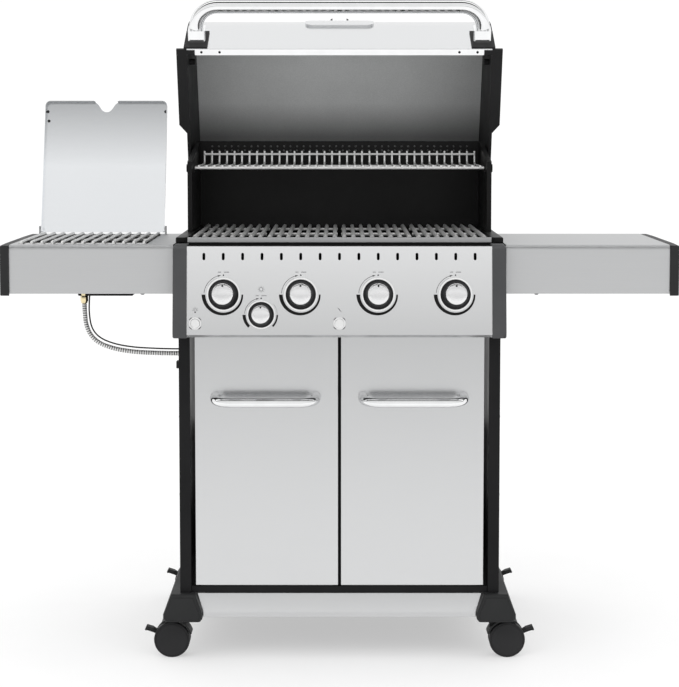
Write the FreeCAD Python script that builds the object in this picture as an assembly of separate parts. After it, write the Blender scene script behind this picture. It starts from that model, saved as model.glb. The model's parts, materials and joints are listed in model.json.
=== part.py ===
import FreeCAD, Part
import math
import os

# Gas barbecue grill: a cabinet cart on casters with a control panel, a cookbox with a
# lifting lid, a plain side shelf on the right and a side burner in the left shelf.
# Millimetres. +X is the cook's right, +Y points to the back and +Z up. The origin is on
# the floor in the middle of the footprint. While the pieces are made, Y = 0 is the front
# of the cookbox, and save() moves them back by ORIGIN_Y. Outlines are lists of two
# coordinates in the plane that their name or comment gives.

ORIGIN_Y = 281.86

# Overall sizes
OVERALL_WIDTH = 1450.0
COOK_SURFACE_Z = 921.0
SHEET = 2.0
PIN_CLEARANCE = 0.06
SMALL = 0.1

# Cabinet
CABINET_HALF = 344.0
CABINET_FRONT = -10.0
CABINET_BACK = 560.0
CABINET_BOTTOM = 150.0
CABINET_TOP = 904.0
POST_FACE = 24.0
POST_DEPTH = 42.0
REAR_RETURN = 40.0
INSIDE_HALF = CABINET_HALF - SHEET
OPENING_HALF = 319.0
FASCIA_TOP = 149.0
FASCIA_FOLD = 105.0
FASCIA_BOTTOM = 95.0
FASCIA_SHEET = 1.5
FASCIA_HALF = 306.0
FASCIA_SIDE = [(294, 90), (295, 108), (308, 150)]
FLOOR_RIB_Y = (190.0, 380.0, 555.0)
FLOOR_RIB_HALF = 290.0
FLOOR_RIB_BOTTOM = 110.0
UPSTAND_Y = -6.0
UPSTAND_TOP = 163.0
UPSTAND_BOTTOM = 100.0
BACK_PANEL_Y = CABINET_BACK - 2.2
BACK_PANEL_TOP = 430.0
LOUVRE_ROWS = 6
LOUVRE_FIRST_Z = 250.0
LOUVRE_PITCH = 22.0
LOUVRE_HEIGHT = 6.0
LOUVRE_X = (60.0, 240.0)
BRACE_Z = (800.0, 880.0)
BRACE_DEPTH = 30.0
HEADER_LINE = [(30, 716), (-8, 716), (-8, 790)]
STILE_HALF = 14.0
STILE_Y = 10.0

# Foot rails, each hollow from below
RAIL_FRONT = -30.0
RAIL_BACK = 590.0
RAIL_BOTTOM = 90.0
RAIL_TOP = 150.0
RAIL_WALL = 4.0
RAIL_CORNER = 6.0
RAIL_BOSS_RADIUS = 16.0
RAIL_WEB_RAISE = 8.0

# Casters
WHEEL_RADIUS = 39.0
WHEEL_WIDTH = 13.0
WHEEL_EDGE = 3.0
WHEEL_SIDE_GAP = 0.8
WHEEL_DISH_RADIUS = WHEEL_RADIUS - 9.0
WHEEL_DISH_DEPTH = 2.0
HUB_RADIUS = 9.0
CASTER_X = 338.0
CASTER_FRONT_Y = 31.0
CASTER_REAR_Y = 529.0
CASTER_TRAIL = 27.0
CASTER_CORE = 12.0
CASTER_CROWN_RADIUS = 15.0
CASTER_NECK_TOP = 84.0
HOOD_HALF_WIDTH = 19.0
HOOD_GAP = 2.5
HOOD_WALL = 3.5
HOOD_REACH = (-46.0, 22.0)
HOOD_LOW_Z = 52.0
AXLE_RADIUS = 4.0
AXLE_HALF = 17.0
STEM_RADIUS = 5.5
STEM_TOP = 116.0
LEVER_OUT = 27.0
LEVER_Z = 50.0
LEVER_PIN = 2.0
LEVER_BOSS = 5.0
LEVER_HALF = 4.0
LEVER_SLOT_HALF = 4.4
LEVER_ARM = [(0, -5), (0, 5), (12, 12), (29, 12), (31, 7), (16, 2)]
LEVER_TREAD = [(13, 12), (29, 17), (33, 9), (30, 6), (28, 11), (15, 8)]
LEVER_TREAD_HALF = 8.5

# Doors and their handles
DOOR_BOTTOM = 166.0
DOOR_TOP = 712.0
DOOR_OUTER = 310.0
DOOR_INNER = 3.0
DOOR_DEPTH = 18.0
DOOR_EDGE = 1.5
DOOR_LIP = 14.0
DOOR_HINGE_X = 303.0
DOOR_HINGE_Y = 0.0
DOOR_PIN = 3.0
DOOR_PIN_REACH = 12.0
HANDLE_Z = 577.0
HANDLE_DROOP = 5.0
HANDLE_STANDOFF = 55.0
HANDLE_TUBE = 10.5
HANDLE_IN = 50.0
HANDLE_OUT = 266.0
HANDLE_BEND = 36.0

# Control panel: a plane whose bottom edge stands further forward than its top
PANEL_HALF = 320.0
PANEL_TOP = (-66.0, 903.0)
PANEL_BOTTOM = (-90.0, 719.0)
PANEL_RETURN_TOP = (-54.0, 903.0)
PANEL_RETURN_BOTTOM = [(-84, 713.5), (-40, 713.5)]
PANEL_CAP_OUTER = 349.4
PANEL_CAP_WALL = 4.0
PANEL_CAP_OUTLINE = [(-12, 906), (-58, 906), (-70, 898), (-94.5, 724), (-92, 712), (-12, 712)]
PANEL_CAP_HOLLOW = [(-11, 902), (-58, 902), (-66, 895), (-90, 723), (-88, 716), (-11, 716)]
SLOT_COUNT = 15
SLOT_PITCH = 40.6
SLOT_WIDTH = 6.0
SLOT_HEIGHT = 15.3
SLOT_Z = 882.0
SLOT_CUT_Y = (-90.0, -50.0)
KNOB_X = (-243.0, -81.0, 81.0, 243.0)
KNOB_Z = 803.0
KNOB_SKIRT = 31.7
KNOB_CAP = 21.9
KNOB_HEIGHT = 37.0
KNOB_BASE = 2.2
KNOB_BORE = 16.0
SIDE_KNOB = (-164.0, 761.0)
SIDE_KNOB_SCALE = 27.0 / 31.7
BEZEL_OUTER = 35.0
BEZEL_INNER = 20.0
BEZEL_THICK = 1.5
BUTTON_RADIUS = 9.6
BUTTON_Z = 743.0
BUTTON_OUT = 5.0
BUTTON_EDGE = 1.2
BUTTON_GAP = 0.6
BUTTON_RING = 3.0
LIGHT_BUTTON_X = -302.0
SPARK_BUTTON_X = 0.0
PANEL_HOLE_OUT = 3.0
PANEL_HOLE_IN = -6.0
VALVE_STEM = 4.0
VALVE_RADIUS = 11.0
MANIFOLD_Y = -32.0
MANIFOLD_Z = 786.0
MANIFOLD_HALF = 300.0
MANIFOLD_RADIUS = 10.0

# Cookbox, grates, burners
COOKBOX_HALF = 330.0
COOKBOX_FRONT = 2.0
COOKBOX_BACK = 452.0
COOKBOX_TOP = 918.0
COOKBOX_FLOOR = 800.0
COOKBOX_WALL = 5.0
DRAIN_Y = (180.0, 270.0)
DRAIN_Z = 726.0
OUTLET = ((-60.0, 60.0), (200.0, 250.0))
LEDGE_HALF = 324.0
FRONT_LEDGE_Y = 34.0
REAR_LEDGE_Y = 435.0
GRATE_LEDGE_Z = (901.0, 904.0)
TENT_LEDGE_Z = (858.0, 860.0)
APRON = ((-50.0, COOKBOX_FRONT + 1.0), (896.0, 898.5))
RIM_HALF = 349.4
RIM_FRONT = -2.0
RIM_Z = 905.5
RIM_EDGE = 3.0
TRIM_HALF = 324.0
TRIM_Y = (-0.5, 1.8)
TRIM_Z = (906.8, 918.0)
TRIM_EDGE = 0.8
GRATE_COUNT = 4
GRATE_PITCH = 160.3
GRATE_FRONT = 24.0
GRATE_BACK = 445.0
GRATE_ROD = 4.5
GRATE_SPACING = 20.0
GRATE_RODS = 8
GRATE_CROSS_ROD = 3.5
GRATE_CROSS_INSET = 22.0
GRATE_CROSS_OVERHANG = 6.0
TENT_HALF = 62.0
TENT_Z = (862.0, 892.0)
TENT_Y = (12.0, 442.0)
BURNER_Z = 842.0
BURNER_Y = (-20.0, 420.0)
BURNER_RADIUS = 12.5
BURNER_BORE = 10.5
BURNER_HOLE = 15.0

# Fixed hood and warming rack
HOOD_FRONT = 195.0
HOOD_FRONT_TOP = 1075.0
HOOD_BACK = 449.0
HOOD_BACK_TOP = 1118.0
HOOD_X = (330.0, 340.0)
HOOD_POCKET_X = 334.0
HOOD_POCKET_EDGE = 6.0
HOOD_BACK_HALF = 335.0
VENT_ROWS = (1096.0, 1106.0)
VENT_COUNT = 40
VENT_PITCH = 15.5
VENT_RADIUS = 2.4
RACK_FRONT_Y = 230.0
RACK_BACK_Y = 394.0
RACK_Z = 1060.0
RACK_TOP_Z = 1095.0
RACK_HALF = 326.0
RACK_BARS = 37
RACK_PITCH = 17.6
RACK_WIRE = 3.2
RACK_TOP_WIRE = 2.6
RACK_BAR_RADIUS = 2.4
RACK_BEND = 9.0
RACK_LUG_Y = ((222.0, 250.0), (384.0, 404.0))
RACK_LUG_Z = (1050.0, 1056.5)

# Grease tray
TRAY_HALF = 110.0
TRAY_Y = (120.0, 540.0)
TRAY_Z = (690.0, 722.0)
TRAY_WALL = 3.0
TRAY_LIP = (538.0, 552.0)

# Lid, drawn closed and then opened about its pivot; its section goes up the front,
# over the shoulder and the top, and down the back as straight runs and arcs
LID_PIVOT = (433.0, 938.0)
LID_OPEN_DEG = 68.0
LID_HALF = 345.0
LID_CAP_OUTER = 352.0
LID_START = (5.0, 919.5)
LID_LEAN_DEG = 4.0
LID_FACE = 108.5
LID_FACE_RADIUS = 230.0
LID_FACE_TURN = 24.5
LID_SHOULDER_RADIUS = 70.0
LID_SHOULDER_TURN = 65.5
LID_TOP = 373.9
LID_REAR_RADIUS = 30.0
LID_REAR_TURN = 86.0
LID_SKIRT = 50.0
LID_WALL = 3.0
LID_LIP = 14.5
LID_LIP_HALF = 327.0
LID_LIP_THICK = 2.5
LID_BEAD = 2.5
LID_BEAD_WIDTH = 9.0
LID_PIVOT_LUG = [(16, 10), (12, -14), (-12, -18)]
PLATE_PROUD = 2.0
PLATE_HEEL_Y = 204.0
LID_PIVOT_PIN = 5.0
LID_PIVOT_BOSS = 14.0
FLANGE_SLOPE_Y = 150.0
FLANGE_END_Y = 190.0
FLANGE_OUTER = 369.0
FLANGE_THICK = 9.0
PAD_INNER = 299.0
PAD_TOP = 1012.0
PAD_THICK = 4.0
PAD_WINDOW_Y = (-20.0, 20.0)
TOE_SETBACK = 3.2
TOE_THICK = 6.0
STOP_BOSS = (60.0, 985.0)
STOP_BOSS_RADIUS = 7.0
STOP_BOSS_LENGTH = 12.0
LID_HANDLE_Z = 965.0
LID_HANDLE_X = 325.0
LID_HANDLE_FOOT = 4.2
LID_HANDLE_STANDOFF = 84.0
LID_HANDLE_TUBE = 16.0
LID_HANDLE_BEND = 50.0
FERRULE_HALF = 19.5
FERRULE_OUT = (4.1, 31.0)
FERRULE_NEAR_HALF = 20.5
FERRULE_FAR_HALF = 18.5
FERRULE_EDGE = 5.0
BADGE_HALF = 80.0
BADGE_Z = (1046.0, 1094.0)
BADGE_WINDOW_Y = (-20.0, 40.0)
BADGE_THICK = 5.0
BADGE_CORNER = 18.0
DIAL_TILT_DEG = 60.0
DIAL_SHARE = 0.62
DIAL_CASE = 36.0
DIAL_RIM = 5.0
DIAL_CASE_DEPTH = (-14.0, 7.0)
DIAL_HOLE_REACH = 20.0
PROBE_RADIUS = 3.0
PROBE_LENGTH = 60.0

# Side shelves and their end caps
SHELF_INNER = 354.0
SHELF_OUTER = 702.0
SHELF_FRONT = -20.0
SHELF_BACK = 368.0
SHELF_TOP = 903.0
SHELF_BOTTOM = 799.0
SHELF_RETURN = 22.0
SHELF_EDGE = 12.0
BRACKET_Y = (40.0, 280.0)
BRACKET_LENGTH = 40.0
BRACKET_Z = (820.0, 880.0)
CAP_BOW = 3.0
CAP_OVERHANG = 4.0
CAP_BACK = 380.0
CAP_WALL = 7.0
CAP_TOP_EDGE = 4.0
CAP_CORNER = 7.0
CAP_BOW_Y = (60.0, 300.0)

# Side burner in the left shelf
BURNER_PAN_X = (-688.0, -412.0)
BURNER_PAN_Y = (8.0, 338.0)
PAN_DEPTH = 60.0
PAN_FLOOR = SHELF_TOP - PAN_DEPTH
SIDE_BURNER_CENTRE = (-550.0, 175.0)
SIDE_BURNER_RADIUS = 42.0
SIDE_BURNER_CAP = 36.0
HEAD_RISES = (6.0, 26.0, 34.0)
INLET = (-570.0, 170.0)
INLET_HOLE = 20.0
INLET_STALK = 6.0
BASE_PLATE = ((-586.0, -470.0), (120.0, 230.0), (797.0, 800.0))
STRUT = ((-540.0, -480.0), (150.0, 190.0))
BOOT = (-557.0, 170.0)
BOOT_Z = (790.3, 798.0)
BOOT_RADIUS = 3.4
SIDE_BARS = 13
SIDE_BAR_FIRST = 6.5
SIDE_BAR_PITCH = 21.9
SIDE_BAR_RADIUS = 3.6
SIDE_BAR_BEND = 8.0
SIDE_BAR_DROP = 18.0
SIDE_CROSS_RADIUS = 3.2
SIDE_GRATE_Z = 906.0
SIDE_LID_X = (-694.0, -407.0)
SIDE_LID_PIVOT = (350.0, 916.0)
SIDE_LID_OPEN_DEG = 106.7
SIDE_LID_LENGTH = 317.0
SIDE_LID_BEHIND = 8.0
SIDE_LID_RISE = 7.0
SIDE_LID_FLANGE = 12.0
SIDE_LID_SHEET = 1.6
SIDE_LID_PIN = 2.5
SIDE_LID_CORNER = 12.0
SIDE_LID_EDGE = 1.2
KNUCKLE_WIDTH = 4.0
EAR_THICK = 3.5
EAR_HALF = 7.0
# Half of the finger notch: shares of its half width, and depths from the lid's edge
NOTCH_HALF = 37.0
NOTCH_CURVE = [(0.0, 25.0), (0.2, 23.0), (0.36, 17.0), (0.52, 8.0), (0.72, 1.5), (1.0, -0.5)]
NOTCH_CUT = 50.0

# Flexible gas hose and igniter wire of the side burner: the points of each route
HOSE_RADIUS = 5.5
HOSE_ROUTE = [
    (-570.0, 170.0, 777.0),
    (-570.0, 170.0, 740.0),
    (-565.0, 170.0, 700.0),
    (-544.0, 170.0, 672.0),
    (-505.0, 170.0, 657.0),
    (-460.0, 170.0, 650.0),
    (-418.0, 170.0, 648.0),
    (-381.0, 170.0, 647.0),
    (-350.0, 170.0, 647.0),
]
WIRE_RADIUS = 1.7
WIRE_ROUTE = [
    (-557.0, 170.0, 790.0),
    (-559.0, 170.0, 764.0),
    (-559.6, 170.0, 738.0),
    (-555.0, 170.0, 704.0),
    (-537.0, 170.0, 681.5),
    (-502.0, 170.0, 667.5),
    (-459.0, 170.0, 660.5),
    (-418.0, 170.0, 658.4),
    (-381.0, 170.0, 657.0),
    (-350.0, 170.0, 657.0),
]
CORD_RUN_SHARE = 0.45
FITTING_Z = (777.0, 786.0, 801.0)
FITTING_NUT = 7.0
FITTING_TAIL = 6.4
FITTING_HOLE = 7.6
BUSH_RADIUS = 14.0
BUSH_LENGTH = 6.0
BUSH_Z = 651.0
CLIP_Y = (52.0, 70.0)
CLIP_LENGTH = 11.0
CLIP_EDGE = 2.0
CLIP_Z = (629.0, 645.0)

X_AXIS = FreeCAD.Vector(1, 0, 0)
Z_AXIS = FreeCAD.Vector(0, 0, 1)


# ---------------------------------------------------------------- helpers
def point(x, y, z):
    return FreeCAD.Vector(x, y, z)


def block(x, y, z):
    """A box between pairs of limits."""
    size = [abs(limits[1] - limits[0]) for limits in (x, y, z)]
    return Part.makeBox(*size, point(min(x), min(y), min(z)))


def rod(start, end, radius):
    """A round bar between two points."""
    a = point(*start)
    b = point(*end)
    return Part.makeCylinder(radius, (b - a).Length, a, b - a)


def ring(start, end, radius, bore):
    """A round bar between two points with a bore through it."""
    return rod(start, end, radius).cut(rod(start, end, bore))


def prism_x(outline, x0, x1):
    """A (Y, Z) outline drawn out along X."""
    wire = Part.makePolygon([point(x0, y, z) for y, z in outline + outline[:1]])
    return Part.Face(wire).extrude(point(x1 - x0, 0, 0))


def prism_y(outline, y0, y1):
    """An (X, Z) outline drawn out along Y."""
    wire = Part.makePolygon([point(x, y0, z) for x, z in outline + outline[:1]])
    return Part.Face(wire).extrude(point(0, y1 - y0, 0))


def prism_z(outline, z0, z1):
    """An (X, Y) outline drawn out along Z."""
    wire = Part.makePolygon([point(x, y, z0) for x, y in outline + outline[:1]])
    return Part.Face(wire).extrude(point(0, 0, z1 - z0))


def fuse(shapes):
    """One solid from pieces that overlap or touch."""
    first = shapes[0]
    if len(shapes) == 1:
        return first
    return first.multiFuse(shapes[1:]).removeSplitter()


def mirrored(shape):
    """The same shape on the other side of the X = 0 plane."""
    return shape.mirror(point(0, 0, 0), X_AXIS)


def pair(shape):
    """The shape and its mirror image as one node of two solids."""
    return Part.makeCompound([shape, mirrored(shape)])


def turned(shape, degrees, pivot):
    """The shape turned about the X-ward line through a (Y, Z) pivot."""
    copy = shape.copy()
    copy.rotate(point(0, pivot[0], pivot[1]), X_AXIS, degrees)
    return copy


def rounded(shape, radius, wanted):
    """Fillets the edges whose middle point and direction pass the test."""
    edges = []
    for edge in shape.Edges:
        middle = edge.valueAt((edge.FirstParameter + edge.LastParameter) / 2)
        if edge.Curve.TypeId == "Part::GeomLine" and wanted(middle, edge.tangentAt(edge.FirstParameter)):
            edges.append(edge)
    return shape.makeFillet(radius, edges)


def near(a, b):
    return abs(a - b) < SMALL


def sheet_outline(line, thickness):
    """Closes a bent line of (a, b) points into a strip, mitred at the bends, lying to the line's left."""
    left = []
    for i, here in enumerate(line):
        normals = []
        for j in (i - 1, i):
            if 0 <= j < len(line) - 1:
                run = (line[j + 1][0] - line[j][0], line[j + 1][1] - line[j][1])
                length = math.hypot(*run)
                normals.append((-run[1] / length, run[0] / length))
        total = (sum(n[0] for n in normals), sum(n[1] for n in normals))
        size = math.hypot(*total)
        unit = (total[0] / size, total[1] / size)
        reach = thickness / (unit[0] * normals[0][0] + unit[1] * normals[0][1])
        left.append((here[0] + unit[0] * reach, here[1] + unit[1] * reach))
    return line + left[::-1]


def tube_path(points, bends):
    """A wire of straight runs joined by tangent arcs, with one bend radius for each inner point."""
    corners = [point(*p) for p in points]
    edges = []
    start = corners[0]
    for i in range(1, len(corners) - 1):
        into = (corners[i] - corners[i - 1]).normalize()
        out = (corners[i + 1] - corners[i]).normalize()
        half = into.getAngle(out) / 2
        setback = bends[i - 1] * math.tan(half)
        first = corners[i] - into * setback
        last = corners[i] + out * setback
        toward = (out - into).normalize()
        middle = corners[i] + toward * (bends[i - 1] / math.cos(half) - bends[i - 1])
        edges.append(Part.LineSegment(start, first).toShape())
        edges.append(Part.Arc(first, middle, last).toShape())
        start = last
    edges.append(Part.LineSegment(start, corners[-1]).toShape())
    return Part.Wire(edges)


def swept(path, radius):
    """A round bar along a wire."""
    first = path.Edges[0]
    heading = first.tangentAt(first.FirstParameter)
    profile = Part.Wire([Part.makeCircle(radius, first.valueAt(first.FirstParameter), heading)])
    return path.makePipeShell([profile], True, True)


def cord_tube(name, points, radius):
    """A cord's tube: each arc as large as its two runs allow."""
    corners = [point(*p) for p in points]
    bends = []
    for i in range(1, len(corners) - 1):
        before = corners[i] - corners[i - 1]
        after = corners[i + 1] - corners[i]
        shorter = min(before.Length, after.Length)
        bends.append(CORD_RUN_SHARE * shorter / math.tan(before.getAngle(after) / 2))
    path = tube_path(points, bends)
    tube = swept(path, radius)
    print(name, "length", round(path.Length, 1), "radii", [round(b) for b in bends])
    print(name, "volume ratio", round(tube.Volume / (math.pi * radius**2 * path.Length), 4))
    return tube


def save(name, shape):
    """Writes one piece, moved so that the origin is in the middle of the footprint."""
    moved = shape.copy()
    moved.translate(point(0, -ORIGIN_Y, 0))
    moved.exportStep("parts/" + name + ".step")


# ---------------------------------------------------------------- cart
def rail_section(inset, bottom):
    """The foot rail's (X, Z) section on the right side, moved inwards."""
    return [
        (300 + inset, bottom),
        (374 - inset, bottom),
        (380 - inset, 97),
        (380 - inset, 106),
        (363 - inset, RAIL_TOP - inset),
        (311 + inset, RAIL_TOP - inset),
        (296 + inset, 108),
        (296 + inset, 95),
    ]


def foot_rail():
    """A moulded rail under the cabinet side, hollow from below, with sockets for two caster stems."""
    shell = prism_y(rail_section(0, RAIL_BOTTOM), RAIL_FRONT, RAIL_BACK)
    shell = rounded(shell, RAIL_CORNER, lambda m, d: m.y in (RAIL_FRONT, RAIL_BACK) and m.z > RAIL_BOTTOM + 1)
    inside = rail_section(RAIL_WALL, RAIL_BOTTOM - 1)
    shell = shell.cut(prism_y(inside, RAIL_FRONT + RAIL_WALL, RAIL_BACK - RAIL_WALL))
    web_top = RAIL_TOP - SHEET
    for y in (CASTER_FRONT_Y, CASTER_REAR_Y):
        boss = rod((CASTER_X, y, RAIL_BOTTOM), (CASTER_X, y, web_top), RAIL_BOSS_RADIUS)
        web = block((300, 376), (y - 2, y + 2), (RAIL_BOTTOM + RAIL_WEB_RAISE, web_top))
        inner = prism_y(rail_section(1, RAIL_BOTTOM), RAIL_FRONT + 1, RAIL_BACK - 1)
        shell = shell.fuse([boss, web.common(inner)])
        socket_top = (CASTER_X, y, STEM_TOP + 1)
        shell = shell.cut(rod((CASTER_X, y, RAIL_BOTTOM - 1), socket_top, STEM_RADIUS + PIN_CLEARANCE))
    return shell.removeSplitter()


def cabinet_side():
    """The right side panel, folded at the front into the post beside the door and at the back."""
    line = [
        (CABINET_HALF - POST_FACE, CABINET_FRONT + POST_DEPTH),
        (CABINET_HALF - POST_FACE, CABINET_FRONT),
        (CABINET_HALF, CABINET_FRONT),
        (CABINET_HALF, CABINET_BACK),
        (CABINET_HALF - REAR_RETURN, CABINET_BACK),
    ]
    panel = prism_z(sheet_outline(line, SHEET), CABINET_BOTTOM, CABINET_TOP)
    beside_cookbox = block((316, 336), (0, 60), (DOOR_TOP + 4, CABINET_TOP + 1))
    return panel.cut(beside_cookbox)


def door_pins(z0, z1):
    """The two fixed pins that the doors turn on, between two heights."""
    pins = []
    for x in (-DOOR_HINGE_X, DOOR_HINGE_X):
        pins.append(rod((x, DOOR_HINGE_Y, z0), (x, DOOR_HINGE_Y, z1), DOOR_PIN))
    return pins


def base_shelf():
    """The cabinet's floor: a sheet with a front upstand under the doors and ribs below."""
    floor_z = (CABINET_BOTTOM, CABINET_BOTTOM + SHEET)
    behind_post = CABINET_FRONT + POST_DEPTH + 1
    upstand_y = (UPSTAND_Y, UPSTAND_Y + SHEET)
    pieces = [
        block((-INSIDE_HALF, INSIDE_HALF), (behind_post, CABINET_BACK - SHEET), floor_z),
        block((-OPENING_HALF, OPENING_HALF), (UPSTAND_Y + SHEET, behind_post + 1), floor_z),
        block((-OPENING_HALF, OPENING_HALF), upstand_y, (CABINET_BOTTOM, UPSTAND_TOP)),
        block((-FLOOR_RIB_HALF, FLOOR_RIB_HALF), upstand_y, (UPSTAND_BOTTOM, CABINET_BOTTOM + 1)),
    ]
    for y in FLOOR_RIB_Y:
        rib_z = (FLOOR_RIB_BOTTOM, CABINET_BOTTOM + 1)
        pieces.append(block((-FLOOR_RIB_HALF, FLOOR_RIB_HALF), (y, y + SHEET), rib_z))
    return fuse(pieces + door_pins(CABINET_BOTTOM + 1, DOOR_BOTTOM + DOOR_PIN_REACH))


def base_fascia():
    """The bright front strip between the feet, folded back at its lower edge."""
    line = [
        (CABINET_FRONT + 3, FASCIA_TOP),
        (CABINET_FRONT, FASCIA_TOP),
        (CABINET_FRONT, FASCIA_FOLD),
        (CABINET_FRONT + 3, FASCIA_BOTTOM),
        (20, FASCIA_BOTTOM),
    ]
    sheet = prism_x(sheet_outline(line, FASCIA_SHEET), -FASCIA_HALF, FASCIA_HALF)
    ends = FASCIA_SIDE + [(-x, z) for x, z in FASCIA_SIDE[::-1]]
    return sheet.common(prism_y(ends, -20, 40))


def cabinet_back():
    """The lower back panel with its louvres, and the brace across the top of the cabinet."""
    inner_y = BACK_PANEL_Y - SHEET
    lower_z = (CABINET_BOTTOM + 2.2, BACK_PANEL_TOP)
    lower = block((-INSIDE_HALF, INSIDE_HALF), (inner_y, BACK_PANEL_Y), lower_z)
    louvres = []
    for row in range(LOUVRE_ROWS):
        z = LOUVRE_FIRST_Z + row * LOUVRE_PITCH
        for side in (-1, 1):
            x = [side * limit for limit in LOUVRE_X]
            louvres.append(block(x, (inner_y - 1, BACK_PANEL_Y + 1), (z, z + LOUVRE_HEIGHT)))
    lower = lower.cut(Part.makeCompound(louvres))
    front_y = CABINET_BACK - BRACE_DEPTH
    line = [(front_y, BRACE_Z[0]), (inner_y, BRACE_Z[0]), (inner_y, BRACE_Z[1]), (front_y, BRACE_Z[1])]
    brace = prism_x(sheet_outline(line, SHEET), -INSIDE_HALF, INSIDE_HALF)
    return Part.makeCompound([lower, brace])


def door_frame():
    """The black header over the doors and the stile behind the gap between them."""
    header = prism_x(sheet_outline(HEADER_LINE, -SHEET), -OPENING_HALF, OPENING_HALF)
    header_z = HEADER_LINE[0][1]
    stile = block((-STILE_HALF, STILE_HALF), (STILE_Y, STILE_Y + SHEET), (CABINET_BOTTOM + 2.2, header_z + 1))
    foot = block((-STILE_HALF, STILE_HALF), (STILE_Y, HEADER_LINE[0][0]), (header_z - 2, header_z + 2))
    return fuse([header, stile, foot] + door_pins(DOOR_TOP - DOOR_PIN_REACH, header_z + 1))


# ---------------------------------------------------------------- casters
def caster_core(x, y, side):
    """The body between a caster's two wheels: stem, hood, axle boss and the lever's ears."""
    centre_x = x + side * CASTER_TRAIL
    front, back = y - CASTER_CORE / 2, y + CASTER_CORE / 2
    axle_z = WHEEL_RADIUS
    disc = rod((centre_x, front, axle_z), (centre_x, back, axle_z), WHEEL_RADIUS - 5)
    neck = block((x - 11, centre_x), (front, back), (axle_z + 4, CASTER_NECK_TOP))
    crown = rod((x, y, 2 * WHEEL_RADIUS + 3), (x, y, RAIL_BOTTOM - 1), CASTER_CROWN_RADIUS)
    bore = WHEEL_RADIUS + HOOD_GAP
    sides = (y - HOOD_HALF_WIDTH, y + HOOD_HALF_WIDTH)
    hood = ring((centre_x, sides[0], axle_z), (centre_x, sides[1], axle_z), bore + HOOD_WALL, bore)
    reach = [centre_x + side * limit for limit in HOOD_REACH]
    hood = hood.common(block(reach, (sides[0] - 1, sides[1] + 1), (HOOD_LOW_Z, RAIL_BOTTOM)))
    stem = rod((x, y, CASTER_NECK_TOP - 4), (x, y, STEM_TOP), STEM_RADIUS)
    body = fuse([disc, neck, crown, hood, stem])
    slot_x = (centre_x + side * HOOD_REACH[1], centre_x + side * 60)
    body = body.cut(block(slot_x, (y - LEVER_SLOT_HALF, y + LEVER_SLOT_HALF), (30, 90)))
    body = body.cut(rod((centre_x, y - 30, axle_z), (centre_x, y + 30, axle_z), AXLE_RADIUS + PIN_CLEARANCE))
    lever_x = centre_x + side * LEVER_OUT
    return body.fuse(rod((lever_x, front, LEVER_Z), (lever_x, back, LEVER_Z), LEVER_PIN)).removeSplitter()


def caster_wheel(x, y, side):
    """Two dished wheels on one axle."""
    centre_x = x + side * CASTER_TRAIL

    def across(start, end, radius):
        return rod((centre_x, y + start, WHEEL_RADIUS), (centre_x, y + end, WHEEL_RADIUS), radius)

    parts = [across(-AXLE_HALF, AXLE_HALF, AXLE_RADIUS)]
    inner = CASTER_CORE / 2 + WHEEL_SIDE_GAP
    outer = inner + WHEEL_WIDTH
    floor = outer - WHEEL_DISH_DEPTH
    for way in (-1, 1):
        disc = across(way * inner, way * outer, WHEEL_RADIUS)
        disc = disc.makeFillet(WHEEL_EDGE, [e for e in disc.Edges if len(e.Vertexes) == 1])
        dish = across(way * floor, way * (outer + 1), WHEEL_DISH_RADIUS)
        hub = across(way * (floor - 1), way * (outer + 0.5), HUB_RADIUS)
        parts.append(disc.cut(dish).fuse(hub))
    return fuse(parts)


def caster_lever(x, y, side):
    """The foot lever that locks the wheels, pivoted between them on the outer side."""
    pivot_x = x + side * (CASTER_TRAIL + LEVER_OUT)

    def profile(outline):
        return [(pivot_x + side * a, LEVER_Z + b) for a, b in outline]

    arm = prism_y(profile(LEVER_ARM), y - LEVER_HALF, y + LEVER_HALF)
    boss = rod((pivot_x, y - LEVER_HALF, LEVER_Z), (pivot_x, y + LEVER_HALF, LEVER_Z), LEVER_BOSS)
    tread = prism_y(profile(LEVER_TREAD), y - LEVER_TREAD_HALF, y + LEVER_TREAD_HALF)
    bore = rod((pivot_x, y - 9, LEVER_Z), (pivot_x, y + 9, LEVER_Z), LEVER_PIN + PIN_CLEARANCE)
    return fuse([arm, boss, tread]).cut(bore)


# ---------------------------------------------------------------- doors
def door(side):
    """A door pan with returned edges, bored top and bottom for its hinge pins."""
    x0, x1 = sorted((side * DOOR_INNER, side * DOOR_OUTER))
    back = CABINET_FRONT + DOOR_DEPTH
    outer = block((x0, x1), (CABINET_FRONT, back), (DOOR_BOTTOM, DOOR_TOP))
    outer = rounded(outer, DOOR_EDGE, lambda m, d: m.y == CABINET_FRONT)
    pocket_z = (DOOR_BOTTOM + SHEET, DOOR_TOP - SHEET)
    pan = outer.cut(block((x0 + SHEET, x1 - SHEET), (CABINET_FRONT + SHEET, back + 1), pocket_z))
    hinge = side * DOOR_HINGE_X
    lips = []
    for z0, z1 in ((DOOR_BOTTOM, DOOR_BOTTOM + DOOR_LIP), (DOOR_TOP - DOOR_LIP, DOOR_TOP)):
        z = (z0 + SMALL, z1 - SMALL)
        lips.append(block((hinge - 7, hinge + 7), (CABINET_FRONT + 1, back), z))
        lips.append(block((x0 + 1, x1 - 1), (back - SHEET, back), z))
    pan = pan.fuse(lips)
    depth = DOOR_PIN_REACH + 1
    for z0, z1 in ((DOOR_BOTTOM - 1, DOOR_BOTTOM + depth), (DOOR_TOP - depth, DOOR_TOP + 1)):
        pan = pan.cut(rod((hinge, DOOR_HINGE_Y, z0), (hinge, DOOR_HINGE_Y, z1), DOOR_PIN + PIN_CLEARANCE))
    return pan.removeSplitter()


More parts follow.
